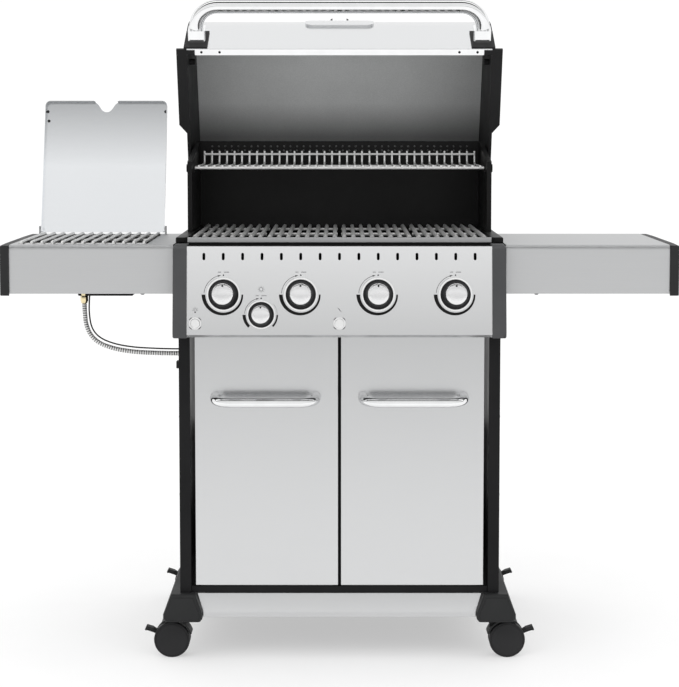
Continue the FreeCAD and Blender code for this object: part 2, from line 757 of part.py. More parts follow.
def door_handle(side):
    """A bent tube whose two legs stand on the door, the bar hanging slightly below them."""
    bar = (CABINET_FRONT - HANDLE_STANDOFF, HANDLE_Z - HANDLE_DROOP)
    foot = (CABINET_FRONT, HANDLE_Z)
    near_x, far_x = side * HANDLE_IN, side * HANDLE_OUT
    points = [(near_x, *foot), (near_x, *bar), (far_x, *bar), (far_x, *foot)]
    return swept(tube_path(points, [HANDLE_BEND, HANDLE_BEND]), HANDLE_TUBE)


# ---------------------------------------------------------------- control panel
def panel_unit():
    """The outward normal of the control panel as (Y, Z)."""
    run = (PANEL_BOTTOM[0] - PANEL_TOP[0], PANEL_BOTTOM[1] - PANEL_TOP[1])
    length = math.hypot(*run)
    return (run[1] / length, -run[0] / length)


def on_panel(x, z, out):
    """A point at a height on the panel's face, moved outwards along its normal."""
    share = (PANEL_TOP[1] - z) / (PANEL_TOP[1] - PANEL_BOTTOM[1])
    y = PANEL_TOP[0] + share * (PANEL_BOTTOM[0] - PANEL_TOP[0])
    unit = panel_unit()
    return (x, y + unit[0] * out, z + unit[1] * out)


def control_places():
    """The knobs' places and their size against the large knob."""
    places = [(x, KNOB_Z, 1.0) for x in KNOB_X]
    places.append((*SIDE_KNOB, SIDE_KNOB_SCALE))
    return places


def panel_hole(x, z, radius):
    """A cutter through the panel's face."""
    return rod(on_panel(x, z, PANEL_HOLE_OUT), on_panel(x, z, PANEL_HOLE_IN), radius)


def control_panel():
    """The bright sloping front with its row of slots and the holes for stems and buttons."""
    line = [PANEL_RETURN_TOP, PANEL_TOP, PANEL_BOTTOM] + PANEL_RETURN_BOTTOM
    panel = prism_x(sheet_outline(line, SHEET), -PANEL_HALF, PANEL_HALF)
    cuts = []
    radius = SLOT_WIDTH / 2
    ends = (SLOT_Z - SLOT_HEIGHT / 2 + radius, SLOT_Z + SLOT_HEIGHT / 2 - radius)
    for i in range(SLOT_COUNT):
        x = (i - (SLOT_COUNT - 1) / 2) * SLOT_PITCH
        cuts.append(block((x - radius, x + radius), SLOT_CUT_Y, ends))
        for z in ends:
            cuts.append(rod((x, SLOT_CUT_Y[0], z), (x, SLOT_CUT_Y[1], z), radius))
    for x, z, scale in control_places():
        cuts.append(panel_hole(x, z, VALVE_STEM + 2))
    for x in (LIGHT_BUTTON_X, SPARK_BUTTON_X):
        cuts.append(panel_hole(x, BUTTON_Z, BUTTON_RADIUS + BUTTON_GAP))
    for cut in cuts:
        panel = panel.cut(cut)
    return panel


def panel_end_caps():
    """The moulded caps at both ends of the control panel, each closed on its outer side."""
    cap = prism_x(PANEL_CAP_OUTLINE, PANEL_HALF, PANEL_CAP_OUTER)
    cap = rounded(cap, PANEL_CAP_WALL, lambda m, d: near(m.x, PANEL_CAP_OUTER) and m.y < -13)
    return pair(cap.cut(prism_x(PANEL_CAP_HOLLOW, PANEL_HALF - 1, PANEL_CAP_OUTER - PANEL_CAP_WALL)))


def control_bezels():
    """Thin bright rings round the knobs and buttons."""
    rings = []
    for x, z, scale in control_places():
        ends = (on_panel(x, z, 0), on_panel(x, z, BEZEL_THICK))
        rings.append(ring(*ends, BEZEL_OUTER * scale, BEZEL_INNER * scale))
    for x in (LIGHT_BUTTON_X, SPARK_BUTTON_X):
        ends = (on_panel(x, BUTTON_Z, 0), on_panel(x, BUTTON_Z, BEZEL_THICK - 0.3))
        rings.append(ring(*ends, BUTTON_RADIUS + BUTTON_RING, BUTTON_RADIUS + BUTTON_GAP))
    return Part.makeCompound(rings)


def knob(x, z, scale):
    """A flared skirt under a domed cap, bored for the valve stem."""
    skirt, cap, tall = KNOB_SKIRT * scale, KNOB_CAP * scale, KNOB_HEIGHT * scale
    outline = [
        (0, KNOB_BASE),
        (skirt, KNOB_BASE),
        (skirt, KNOB_BASE + 4),
        (cap + 3 * scale, tall * 0.62),
        (cap + 0.5, tall - 3),
        (cap - 2, tall),
        (0, tall + 1),
    ]
    wire = Part.makePolygon([point(r, 0, h) for r, h in outline + outline[:1]])
    solid = Part.Face(wire).revolve(point(0, 0, 0), Z_AXIS, 360)
    solid = solid.cut(rod((0, 0, -1), (0, 0, KNOB_BASE + KNOB_BORE - 1), VALVE_STEM + PIN_CLEARANCE))
    tilt = FreeCAD.Rotation(Z_AXIS, point(0, *panel_unit()))
    solid.Placement = FreeCAD.Placement(point(*on_panel(x, z, 0)), tilt)
    return solid


def button(x):
    """A push button through the panel, with a wider tail behind it."""
    front = on_panel(x, BUTTON_Z, BUTTON_OUT)
    head = rod(on_panel(x, BUTTON_Z, -8), front, BUTTON_RADIUS)
    crown = [e for e in head.Edges if len(e.Vertexes) == 1 and abs(e.BoundBox.Center.y - front[1]) < 1]
    tail = rod(on_panel(x, BUTTON_Z, -9), on_panel(x, BUTTON_Z, -6), BUTTON_RADIUS + 1.5)
    return fuse([head.makeFillet(BUTTON_EDGE, crown), tail])


def gas_manifold():
    """The gas pipe behind the panel with a valve and stem for each knob."""
    ends = [(side * MANIFOLD_HALF, MANIFOLD_Y, MANIFOLD_Z) for side in (-1, 1)]
    pieces = [rod(*ends, MANIFOLD_RADIUS)]
    for x, z, scale in control_places():
        body = on_panel(x, z, -20)
        pieces.append(rod(on_panel(x, z, -42), body, VALVE_RADIUS))
        pieces.append(rod(body, on_panel(x, z, 14 * scale), VALVE_STEM))
        pieces.append(rod((x, MANIFOLD_Y, MANIFOLD_Z), on_panel(x, z, -30), 7))
    return fuse(pieces)


# ---------------------------------------------------------------- cookbox
def grate_ledges():
    """The ledges cast along the cookbox's front and back walls, for the grates and the heat tents."""
    pieces = []
    for y in ((COOKBOX_FRONT + 1, FRONT_LEDGE_Y), (REAR_LEDGE_Y, COOKBOX_BACK - 1)):
        for z in (GRATE_LEDGE_Z, TENT_LEDGE_Z):
            pieces.append(block((-LEDGE_HALF, LEDGE_HALF), y, z))
    return pieces


def cookbox():
    """The open cast box: straight walls that run in to a grease outlet, with a thick rim down each side."""
    wall = COOKBOX_WALL
    half = COOKBOX_HALF
    outer = block((-half, half), (COOKBOX_FRONT, COOKBOX_BACK), (COOKBOX_FLOOR, COOKBOX_TOP))
    drain = [
        (COOKBOX_FRONT, COOKBOX_FLOOR),
        (DRAIN_Y[0], DRAIN_Z),
        (DRAIN_Y[1], DRAIN_Z),
        (COOKBOX_BACK, COOKBOX_FLOOR),
    ]
    inner_y = (COOKBOX_FRONT + wall, COOKBOX_BACK - wall)
    inner = block((wall - half, half - wall), inner_y, (COOKBOX_FLOOR + 2, COOKBOX_TOP + 1))
    funnel = [
        (inner_y[0], COOKBOX_FLOOR + 3),
        (DRAIN_Y[0] + 2, DRAIN_Z + wall),
        (DRAIN_Y[1] - 2, DRAIN_Z + wall),
        (inner_y[1], COOKBOX_FLOOR + 3),
    ]
    body = outer.fuse(prism_x(drain, -half, half)).cut(inner).cut(prism_x(funnel, wall - half, half - wall))
    body = body.cut(block(*OUTLET, (DRAIN_Z - 6, DRAIN_Z + 14)))
    for x in KNOB_X:
        body = body.cut(rod((x, COOKBOX_FRONT - 3, BURNER_Z), (x, inner_y[0] + 2, BURNER_Z), BURNER_HOLE))
    rim = block((half - 1, RIM_HALF), (RIM_FRONT, COOKBOX_BACK), (RIM_Z, COOKBOX_TOP))
    rim = rounded(rim, RIM_EDGE, lambda m, d: m.x == RIM_HALF or m.y == RIM_FRONT)
    apron = block((-OPENING_HALF, OPENING_HALF), *APRON)
    return fuse([body, apron, rim, mirrored(rim)] + grate_ledges())


def front_trim():
    """The bright strip along the cookbox front."""
    strip = block((-TRIM_HALF, TRIM_HALF), TRIM_Y, TRIM_Z)
    return rounded(strip, TRIM_EDGE, lambda m, d: m.y == TRIM_Y[0] and abs(d.x) > 0.9)


def cooking_grates():
    """Four grates of round bars on three cross bars."""
    bar_z = COOK_SURFACE_Z - GRATE_ROD
    cross_z = COOK_SURFACE_Z - 2 * GRATE_ROD - 2
    reach = (GRATE_RODS - 1) / 2 * GRATE_SPACING + GRATE_CROSS_OVERHANG
    inset = GRATE_CROSS_INSET
    cross_y = (GRATE_FRONT + inset, (GRATE_FRONT + GRATE_BACK) / 2, GRATE_BACK - inset)
    grates = []
    for g in range(GRATE_COUNT):
        middle = (g - (GRATE_COUNT - 1) / 2) * GRATE_PITCH
        bars = []
        for i in range(GRATE_RODS):
            x = middle + (i - (GRATE_RODS - 1) / 2) * GRATE_SPACING
            bars.append(rod((x, GRATE_FRONT, bar_z), (x, GRATE_BACK, bar_z), GRATE_ROD))
        for y in cross_y:
            bars.append(rod((middle - reach, y, cross_z), (middle + reach, y, cross_z), GRATE_CROSS_ROD))
        grates.append(fuse(bars))
    return Part.makeCompound(grates)


def heat_tents():
    """Folded covers over the burners."""
    tents = []
    for x in KNOB_X:
        line = [(x - TENT_HALF, TENT_Z[0]), (x, TENT_Z[1]), (x + TENT_HALF, TENT_Z[0])]
        tents.append(prism_y(sheet_outline(line, -SHEET), *TENT_Y))
    return Part.makeCompound(tents)


def burners():
    """Four tube burners, each fed from its valve through the cookbox front and closed at the back."""
    front, back = BURNER_Y
    pieces = []
    for x in KNOB_X:
        tube = ring((x, front, BURNER_Z), (x, back, BURNER_Z), BURNER_RADIUS, BURNER_BORE)
        end = rod((x, back - 3, BURNER_Z), (x, back, BURNER_Z), BURNER_BORE + 0.5)
        pieces.append(fuse([tube, end]))
    return Part.makeCompound(pieces)


def hood():
    """The fixed black surround behind the cooking area: two side walls and the back, with vent holes."""
    side = [
        (HOOD_FRONT, COOKBOX_TOP),
        (HOOD_FRONT, HOOD_FRONT_TOP),
        (HOOD_BACK, HOOD_BACK_TOP),
        (HOOD_BACK, COOKBOX_TOP),
    ]
    edge = HOOD_POCKET_EDGE
    pocket = [
        (HOOD_FRONT + edge, COOKBOX_TOP + edge),
        (HOOD_FRONT + edge, HOOD_FRONT_TOP - edge + 1),
        (HOOD_BACK - edge, HOOD_BACK_TOP - edge - 1),
        (HOOD_BACK - edge, COOKBOX_TOP + edge),
    ]
    inner_x, outer_x = HOOD_X
    wall = prism_x(side, inner_x, outer_x).cut(prism_x(pocket, HOOD_POCKET_X, outer_x + 1))
    boss_yz = (HOOD_FRONT + 12, RACK_Z)
    pieces = [
        wall,
        rod((inner_x, *boss_yz), (outer_x + 2.5, *boss_yz), 9),
        rod((inner_x, *LID_PIVOT), (LID_HALF - 0.6, *LID_PIVOT), LID_PIVOT_BOSS),
        rod((inner_x + 2, *LID_PIVOT), (LID_CAP_OUTER - 1, *LID_PIVOT), LID_PIVOT_PIN),
    ]
    for y in RACK_LUG_Y:
        pieces.append(block((inner_x - 4, inner_x + 1), y, RACK_LUG_Z))
    right = fuse(pieces)
    back_y = (HOOD_BACK - SHEET, HOOD_BACK)
    back = block((-HOOD_BACK_HALF, HOOD_BACK_HALF), back_y, (COOKBOX_TOP, HOOD_BACK_TOP))
    holes = []
    for z in VENT_ROWS:
        for i in range(VENT_COUNT):
            x = (i - (VENT_COUNT - 1) / 2) * VENT_PITCH
            holes.append(rod((x, back_y[0] - 3, z), (x, back_y[1] + 3, z), VENT_RADIUS))
    return fuse([right, mirrored(right), back.cut(Part.makeCompound(holes))])


def warming_rack():
    """A wire rack whose bars run back and then turn up to the rear wire."""
    half = (RACK_BARS - 1) / 2 * RACK_PITCH
    rear_y, top_z = RACK_BACK_Y + 2, RACK_TOP_Z - 7
    bars = [rod((-half, rear_y, top_z), (half, rear_y, top_z), RACK_TOP_WIRE)]
    for y in (RACK_FRONT_Y, RACK_BACK_Y - 6):
        bars.append(rod((-RACK_HALF, y, RACK_Z), (RACK_HALF, y, RACK_Z), RACK_WIRE))
    bar_z = RACK_Z + 4
    for i in range(RACK_BARS):
        x = i * RACK_PITCH - half
        route = [(x, RACK_FRONT_Y - 4, bar_z), (x, RACK_BACK_Y, bar_z), (x, RACK_BACK_Y + 6, RACK_TOP_Z)]
        bars.append(swept(tube_path(route, [RACK_BEND]), RACK_BAR_RADIUS))
    return fuse(bars)


def grease_tray():
    """A shallow drawer under the cookbox outlet that pulls out at the back."""
    wall = TRAY_WALL
    outer = block((-TRAY_HALF, TRAY_HALF), TRAY_Y, TRAY_Z)
    inner_y = (TRAY_Y[0] + wall, TRAY_Y[1] - wall)
    inner = block((wall - TRAY_HALF, TRAY_HALF - wall), inner_y, (TRAY_Z[0] + wall, TRAY_Z[1] + 1))
    lip = block((-TRAY_HALF, TRAY_HALF), TRAY_LIP, (TRAY_Z[0], TRAY_Z[0] + 4))
    return fuse([outer.cut(inner), lip])


# ---------------------------------------------------------------- lid
def lid_profile(inset):
    """The closed lid's front, shoulder, top and rear skirt as edges in the YZ plane, moved inwards."""
    heading = math.radians(90 + LID_LEAN_DEG)
    y = LID_START[0] + inset * math.sin(heading)
    z = LID_START[1] - inset * math.cos(heading)
    steps = [
        (LID_FACE, 0),
        (LID_FACE_RADIUS, LID_FACE_TURN),
        (LID_SHOULDER_RADIUS, LID_SHOULDER_TURN),
        (LID_TOP, 0),
        (LID_REAR_RADIUS, LID_REAR_TURN),
        (LID_SKIRT, 0),
    ]
    edges = []
    for size, turn in steps:
        if turn == 0:
            end = (y + size * math.cos(heading), z + size * math.sin(heading))
            edges.append(straight((y, z), end))
        else:
            radius = size - inset
            centre = (y + radius * math.sin(heading), z - radius * math.cos(heading))
            places = []
            for share in (0.5, 1.0):
                angle = heading - math.radians(turn) * share
                places.append((centre[0] - radius * math.sin(angle), centre[1] + radius * math.cos(angle)))
            middle, end = places
            edges.append(Part.Arc(point(0, y, z), point(0, *middle), point(0, *end)).toShape())
            heading -= math.radians(turn)
        y, z = end
    return edges


def straight(a, b):
    """A straight edge between two (Y, Z) points."""
    return Part.LineSegment(point(0, *a), point(0, *b)).toShape()


def profile_ends(edges):
    """The first and last (Y, Z) points of a profile."""
    first = edges[0].valueAt(edges[0].FirstParameter)
    last = edges[-1].valueAt(edges[-1].LastParameter)
    return (first.y, first.z), (last.y, last.z)


def drawn_out(edges, x0, x1):
    """A closed outline of edges in the YZ plane drawn out along X."""
    solid = Part.Face(Part.Wire(Part.__sortEdges__(edges))).extrude(point(x1 - x0, 0, 0))
    solid.translate(point(x0, 0, 0))
    return solid


def band(outer_inset, inner_inset, x0, x1):
    """The wall between two insets of the lid profile, drawn out along X."""
    outer, inner = lid_profile(outer_inset), lid_profile(inner_inset)
    outer_first, outer_last = profile_ends(outer)
    inner_first, inner_last = profile_ends(inner)
    ends = [straight(outer_last, inner_last), straight(inner_first, outer_first)]
    return drawn_out(outer + inner + ends, x0, x1)


def lid_plate(inset, x0, x1):
    """The lid's filled side outline down to the pivot, drawn out along X."""
    edges = lid_profile(inset)
    first, last = profile_ends(edges)
    lug = [(LID_PIVOT[0] + y, LID_PIVOT[1] + z) for y, z in LID_PIVOT_LUG]
    closing = [last] + lug + [(PLATE_HEEL_Y, LID_START[1]), first]
    edges += [straight(a, b) for a, b in zip(closing, closing[1:])]
    return drawn_out(edges, x0, x1)


def opened(shape):
    """The lid's pieces as they stand when it is open."""
    return turned(shape, -LID_OPEN_DEG, LID_PIVOT)


def lid_skin():
    """The curved hood sheet with its inward lip along the bottom edge and the thermometer's hole."""
    skin = band(0, LID_WALL, -LID_HALF, LID_HALF)
    lip_y = (LID_START[0] + 1, LID_START[0] + LID_LIP)
    lip_z = (LID_START[1], LID_START[1] + LID_LIP_THICK)
    lip = block((-LID_LIP_HALF, LID_LIP_HALF), lip_y, lip_z)
    hole = rod(on_dial(-DIAL_HOLE_REACH), on_dial(DIAL_HOLE_REACH), DIAL_CASE + PIN_CLEARANCE)
    return opened(fuse([skin, lip]).cut(hole))


def lid_end_caps():
    """The cast sides of the lid: a plate, an edge bead, a bottom flange and a corner pad under the handle."""
    base_z = LID_START[1]
    flange_z = (base_z, base_z + FLANGE_THICK)
    slope = [
        (LID_HALF, FLANGE_SLOPE_Y),
        (FLANGE_OUTER, FLANGE_SLOPE_Y),
        (FLANGE_OUTER, FLANGE_END_Y),
        (LID_HALF + 4, FLANGE_END_Y + 24),
    ]
    toe_y = (LID_START[0] + TOE_SETBACK, LID_START[0] + LID_LIP)
    pad = band(-PAD_THICK, 0, PAD_INNER, LID_CAP_OUTER)
    boss_x = (LID_HALF - STOP_BOSS_LENGTH, LID_HALF + 1)
    pieces = [
        lid_plate(-PLATE_PROUD, LID_HALF, LID_CAP_OUTER),
        band(-LID_BEAD, 0, LID_HALF - LID_BEAD_WIDTH, LID_CAP_OUTER),
        block((LID_HALF, FLANGE_OUTER), (LID_START[0] + 2, FLANGE_END_Y), flange_z),
        prism_z(slope, *flange_z),
        block((LID_LIP_HALF, LID_HALF + 1), toe_y, (base_z, base_z + TOE_THICK)),
        pad.common(block((PAD_INNER - 1, LID_CAP_OUTER + 1), PAD_WINDOW_Y, (base_z, PAD_TOP))),
        rod((boss_x[0], *STOP_BOSS), (boss_x[1], *STOP_BOSS), STOP_BOSS_RADIUS),
    ]
    bore_x = (LID_HALF - 5, LID_CAP_OUTER + 5)
    bore = rod((bore_x[0], *LID_PIVOT), (bore_x[1], *LID_PIVOT), LID_PIVOT_PIN + PIN_CLEARANCE)
    return pair(opened(fuse(pieces).cut(bore)))


def face_point(z, out):
    """A (Y, Z) point at a height on the lid's flat front face, moved outwards."""
    lean = math.radians(LID_LEAN_DEG)
    rise = z - LID_START[1]
    y = LID_START[0] - rise * math.tan(lean)
    return (y - out * math.cos(lean), z - out * math.sin(lean))


def lid_handle():
    """The wide tube handle: two legs square to the face and a bar between them."""
    foot = face_point(LID_HANDLE_Z, LID_HANDLE_FOOT)
    bar = face_point(LID_HANDLE_Z, LID_HANDLE_STANDOFF)
    points = [(-LID_HANDLE_X, *foot), (-LID_HANDLE_X, *bar), (LID_HANDLE_X, *bar), (LID_HANDLE_X, *foot)]
    return opened(swept(tube_path(points, [LID_HANDLE_BEND, LID_HANDLE_BEND]), LID_HANDLE_TUBE))


def handle_ferrules():
    """Squared collars where the handle meets the lid, a little smaller at their outer ends."""
    lean = math.radians(LID_LEAN_DEG)
    inner, outer = [face_point(LID_HANDLE_Z, out) for out in FERRULE_OUT]
    outline = []
    halves = (FERRULE_NEAR_HALF, FERRULE_FAR_HALF, -FERRULE_FAR_HALF, -FERRULE_NEAR_HALF)
    for end, half in zip((inner, outer, outer, inner), halves):
        outline.append((end[0] - math.sin(lean) * half, end[1] + math.cos(lean) * half))
    centre = LID_HANDLE_X - 1
    collar = prism_x(outline, centre - FERRULE_HALF, centre + FERRULE_HALF)
    collar = rounded(collar, FERRULE_EDGE, lambda m, d: abs(d.y) > 0.7)
    start, end = [face_point(LID_HANDLE_Z, out) for out in (0, FERRULE_OUT[1] + 9)]
    bore = rod((LID_HANDLE_X, *start), (LID_HANDLE_X, *end), LID_HANDLE_TUBE + PIN_CLEARANCE)
    return pair(opened(collar.cut(bore)))


def badge_plate():
    """A blank raised plate that follows the lid's face."""
    plate = band(-BADGE_THICK, 0, -BADGE_HALF, BADGE_HALF)
    window = block((-BADGE_HALF, BADGE_HALF), BADGE_WINDOW_Y, BADGE_Z)
    window = rounded(window, BADGE_CORNER, lambda m, d: abs(d.y) > 0.9)
    return opened(plate.common(window))


def on_dial(depth):
    """A point on the thermometer's axis, measured outwards from the lid's shoulder."""
    shoulder = lid_profile(0)[2]
    turn = shoulder.LastParameter - shoulder.FirstParameter
    spot = shoulder.valueAt(shoulder.FirstParameter + DIAL_SHARE * turn)
    tilt = math.radians(DIAL_TILT_DEG)
    return (0, spot.y - math.cos(tilt) * depth, spot.z + math.sin(tilt) * depth)


def thermometer():
    """The dial on the lid's shoulder: a round case, a rim and a probe through the skin."""
    back, front = DIAL_CASE_DEPTH
    case = rod(on_dial(back), on_dial(front), DIAL_CASE)
    dial = rod(on_dial(front - 2), on_dial(front + 1), DIAL_CASE - DIAL_RIM)
    return opened(fuse([case.cut(dial), rod(on_dial(-PROBE_LENGTH), on_dial(0), PROBE_RADIUS)]))


# ---------------------------------------------------------------- shelves and side burner
def right_shelf():
    """A side shelf folded from one sheet, with two brackets that hold it off the cabinet."""
    line = [
        (SHELF_FRONT + SHELF_RETURN, SHELF_BOTTOM),
        (SHELF_FRONT, SHELF_BOTTOM),
        (SHELF_FRONT, SHELF_TOP),
        (SHELF_BACK, SHELF_TOP),
        (SHELF_BACK, SHELF_BOTTOM),
        (SHELF_BACK - SHELF_RETURN, SHELF_BOTTOM),
    ]
    folded = prism_x(sheet_outline(line, -SHEET), SHELF_INNER, SHELF_OUTER)
    for depth in (SHEET, 0):
        fold = point(0, SHELF_FRONT + depth, SHELF_TOP - depth)
        folded = rounded(folded, SHELF_EDGE - depth, lambda m, d: near(m.y, fold.y) and near(m.z, fold.z))
    end_z = (SHELF_BOTTOM + 2, SHELF_TOP - 1)
    inner_end = block((SHELF_INNER, SHELF_INNER + SHEET), (SHELF_FRONT + 1, SHELF_BACK - 1), end_z)
    corner = [(SHELF_FRONT, SHELF_TOP), (SHELF_FRONT, SHELF_TOP - 23), (SHELF_FRONT + 14, SHELF_TOP)]
    inner_end = inner_end.cut(prism_x(corner, SHELF_INNER - 1, SHELF_INNER + SHEET + 3))
    brackets = []
    for y in BRACKET_Y:
        brackets.append(block((CABINET_HALF, SHELF_INNER + 1), (y, y + BRACKET_LENGTH), BRACKET_Z))
    return fuse([folded, inner_end] + brackets)


def left_shelf():
    """The other shelf, opened for the burner pan and carrying the ears and pins of the burner's lid."""
    shelf = mirrored(right_shelf())
    shelf = shelf.cut(block(BURNER_PAN_X, BURNER_PAN_Y, (SHELF_TOP - 8, SHELF_TOP + 8)))
    pivot_y, pivot_z = SIDE_LID_PIVOT
    pieces = [shelf]
    for lid_x, way in ((SIDE_LID_X[0], -1), (SIDE_LID_X[1], 1)):
        inner_x = lid_x + way
        outer_x = inner_x + way * EAR_THICK
        ear_y = (pivot_y - EAR_HALF, pivot_y + EAR_HALF)
        pieces.append(block((inner_x, outer_x), ear_y, (SHELF_TOP - 1, pivot_z + 6)))
        pin_x = (lid_x + way * 3, lid_x - way * 4)
        pieces.append(rod((pin_x[0], pivot_y, pivot_z), (pin_x[1], pivot_y, pivot_z), SIDE_LID_PIN))
    return fuse(pieces)


def shelf_end_caps():
    """The moulded ends of both shelves, bowed slightly outwards."""
    outer = OVERALL_WIDTH / 2
    front = SHELF_FRONT - CAP_OVERHANG
    face = [
        (SHELF_OUTER, front),
        (outer - CAP_BOW, front),
        (outer, CAP_BOW_Y[0]),
        (outer, CAP_BOW_Y[1]),
        (outer - CAP_BOW, CAP_BACK),
        (SHELF_OUTER, CAP_BACK),
    ]
    top = SHELF_TOP - 1
    cap = prism_z(face, SHELF_BOTTOM - CAP_OVERHANG, top)
    bow_x = outer - CAP_BOW - 1
    cap = rounded(cap, CAP_CORNER, lambda m, d: abs(d.z) > 0.9 and m.x > bow_x and m.y < SHELF_FRONT)
    cap_x = SHELF_OUTER + 1
    cap = rounded(cap, CAP_TOP_EDGE, lambda m, d: m.x > cap_x and m.z > top - 1 and m.y > SHELF_FRONT)
    hollow_z = (SHELF_BOTTOM - CAP_OVERHANG - 1, top - 5)
    return pair(cap.cut(block((SHELF_OUTER - 1, outer - CAP_WALL), (SHELF_FRONT, CAP_BACK - 6), hollow_z)))


def side_burner_pan():
    """The drip pan set into the left shelf, with a black base below and the igniter's boot."""
    x0, x1 = BURNER_PAN_X
    y0, y1 = BURNER_PAN_Y
    outer = block((x0, x1), (y0, y1), (PAN_FLOOR, SHELF_TOP - SMALL))
    inner_y = (y0 + SHEET, y1 - SHEET)
    pan = outer.cut(block((x0 + SHEET, x1 - SHEET), inner_y, (PAN_FLOOR + SHEET, SHELF_TOP + 1)))
    pan = pan.cut(rod((*INLET, PAN_FLOOR - 2), (*INLET, PAN_FLOOR + 4), INLET_HOLE))
    base_x, base_y, base_z = BASE_PLATE
    pieces = [
        pan,
        block(base_x, base_y, base_z),
        block(*STRUT, (base_z[1] - 1, PAN_FLOOR + 1)),
        rod((*BOOT, BOOT_Z[0]), (*BOOT, BOOT_Z[1]), BOOT_RADIUS),
    ]
    return fuse(pieces).cut(rod((*INLET, base_z[0] - 7), (*INLET, FITTING_Z[2]), FITTING_HOLE))


def side_burner_head():
    """The round burner with its cap and its gas inlet down to the fitting."""
    bowl_z, cap_z, top_z = [PAN_FLOOR + rise for rise in HEAD_RISES]
    inlet_x, inlet_y = INLET
    pieces = [
        rod((*SIDE_BURNER_CENTRE, bowl_z), (*SIDE_BURNER_CENTRE, cap_z), SIDE_BURNER_RADIUS),
        rod((*SIDE_BURNER_CENTRE, cap_z), (*SIDE_BURNER_CENTRE, top_z), SIDE_BURNER_CAP),
        rod((*INLET, FITTING_Z[2]), (*INLET, PAN_FLOOR + 8), INLET_STALK),
        block((inlet_x - 4, inlet_x + 18), (inlet_y - 5, inlet_y + 5), (PAN_FLOOR + 3, PAN_FLOOR + 9)),
    ]
    return fuse(pieces)


def side_burner_grate():
    """Round bars with turned-down ends, held by three cross bars and by one along each row of ends."""
    bars = []
    y0, y1 = BURNER_PAN_Y
    top, foot = SIDE_GRATE_Z, SIDE_GRATE_Z - SIDE_BAR_DROP
    for i in range(SIDE_BARS):
        x = BURNER_PAN_X[0] + SIDE_BAR_FIRST + i * SIDE_BAR_PITCH
        route = [(x, y0 + 6, foot), (x, y0 + 7, top), (x, y1 - 7, top), (x, y1 - 6, foot)]
        bars.append(swept(tube_path(route, [SIDE_BAR_BEND, SIDE_BAR_BEND]), SIDE_BAR_RADIUS))
    cross_x = (BURNER_PAN_X[0] + 4, BURNER_PAN_X[1] - 4)
    upper_z, lower_z = top - SIDE_BAR_RADIUS - 2, foot + 1
    cross = [(y, upper_z) for y in (y0 + 30, (y0 + y1) / 2, y1 - 30)]
    cross += [(y, lower_z) for y in (y0 + 6, y1 - 6)]
    for y, z in cross:
        bars.append(rod((cross_x[0], y, z), (cross_x[1], y, z), SIDE_CROSS_RADIUS))
    return fuse(bars)


def finger_notch(middle, front):
    """A cutter for the bell-shaped notch in the middle of the side burner lid's front edge."""
    right = [(middle + NOTCH_HALF * share, front + depth) for share, depth in NOTCH_CURVE]
    left = [(2 * middle - x, y) for x, y in right[:0:-1]]
    places = [point(x, y, 0) for x, y in left + right]
    curve = Part.BSplineCurve()
    curve.interpolate(places)
    close = Part.LineSegment(places[-1], places[0])
    return Part.Face(Part.Wire([curve.toShape(), close.toShape()])).extrude(point(0, 0, NOTCH_CUT))


def side_burner_lid():
    """The flat lid with turned-down edges and a finger notch, drawn closed and then opened."""
    x0, x1 = SIDE_LID_X
    pivot_y, pivot_z = SIDE_LID_PIVOT
    rear = pivot_y + SIDE_LID_BEHIND
    front = rear - SIDE_LID_LENGTH
    top = pivot_z + SIDE_LID_RISE
    wall = SIDE_LID_SHEET
    outer = block((x0, x1), (front, rear), (top - SIDE_LID_FLANGE, top))
    outer = rounded(outer, SIDE_LID_CORNER, lambda m, d: abs(d.z) > 0.9 and m.y == front)
    outer = rounded(outer, SIDE_LID_EDGE, lambda m, d: m.z == top)
    inner = block((x0 + wall, x1 - wall), (front + wall, rear + 2), (top - SIDE_LID_FLANGE - 1, top - wall))
    inner = rounded(inner, SIDE_LID_CORNER - 2, lambda m, d: abs(d.z) > 0.9 and m.y == front + wall)
    notch = finger_notch((x0 + x1) / 2, front)
    notch.translate(point(0, 0, top - NOTCH_CUT / 2))
    lid = outer.cut(inner).cut(notch)
    knuckles = []
    for a, b in ((x0, x0 + KNUCKLE_WIDTH), (x1 - KNUCKLE_WIDTH, x1)):
        knuckles.append(block((a, b), (pivot_y - 6, rear), (pivot_z - 6, top - 0.8)))
    lid = lid.fuse(knuckles)
    for x in (x0, x1):
        bore = rod((x - 6, *SIDE_LID_PIVOT), (x + 6, *SIDE_LID_PIVOT), SIDE_LID_PIN + PIN_CLEARANCE)
        lid = lid.cut(bore)
    return turned(lid.removeSplitter(), -SIDE_LID_OPEN_DEG, SIDE_LID_PIVOT)


def hose_fitting():
    """The brass nut and tail under the side burner."""
    x, y = INLET
    tail_z, nut_z, top_z = FITTING_Z
    corners = []
    for i in range(6):
        angle = math.radians(60 * i)
        corners.append((x + FITTING_NUT * math.cos(angle), y + FITTING_NUT * math.sin(angle)))
    tail = rod((x, y, tail_z), (x, y, nut_z), FITTING_TAIL)
    return fuse([prism_z(corners, nut_z, top_z), tail])


def hose_grommet():
    """The bushing in the cabinet side that the hose and wire enter, and the small clip near the post."""
    y = INLET[1]
    bush = rod((-CABINET_HALF - BUSH_LENGTH, y, BUSH_Z), (-CABINET_HALF, y, BUSH_Z), BUSH_RADIUS)
    outer_x = -CABINET_HALF - CLIP_LENGTH
    clip = rounded(block((outer_x, -CABINET_HALF), CLIP_Y, CLIP_Z), CLIP_EDGE, lambda m, d: m.x == outer_x)
    return Part.makeCompound([bush, clip])


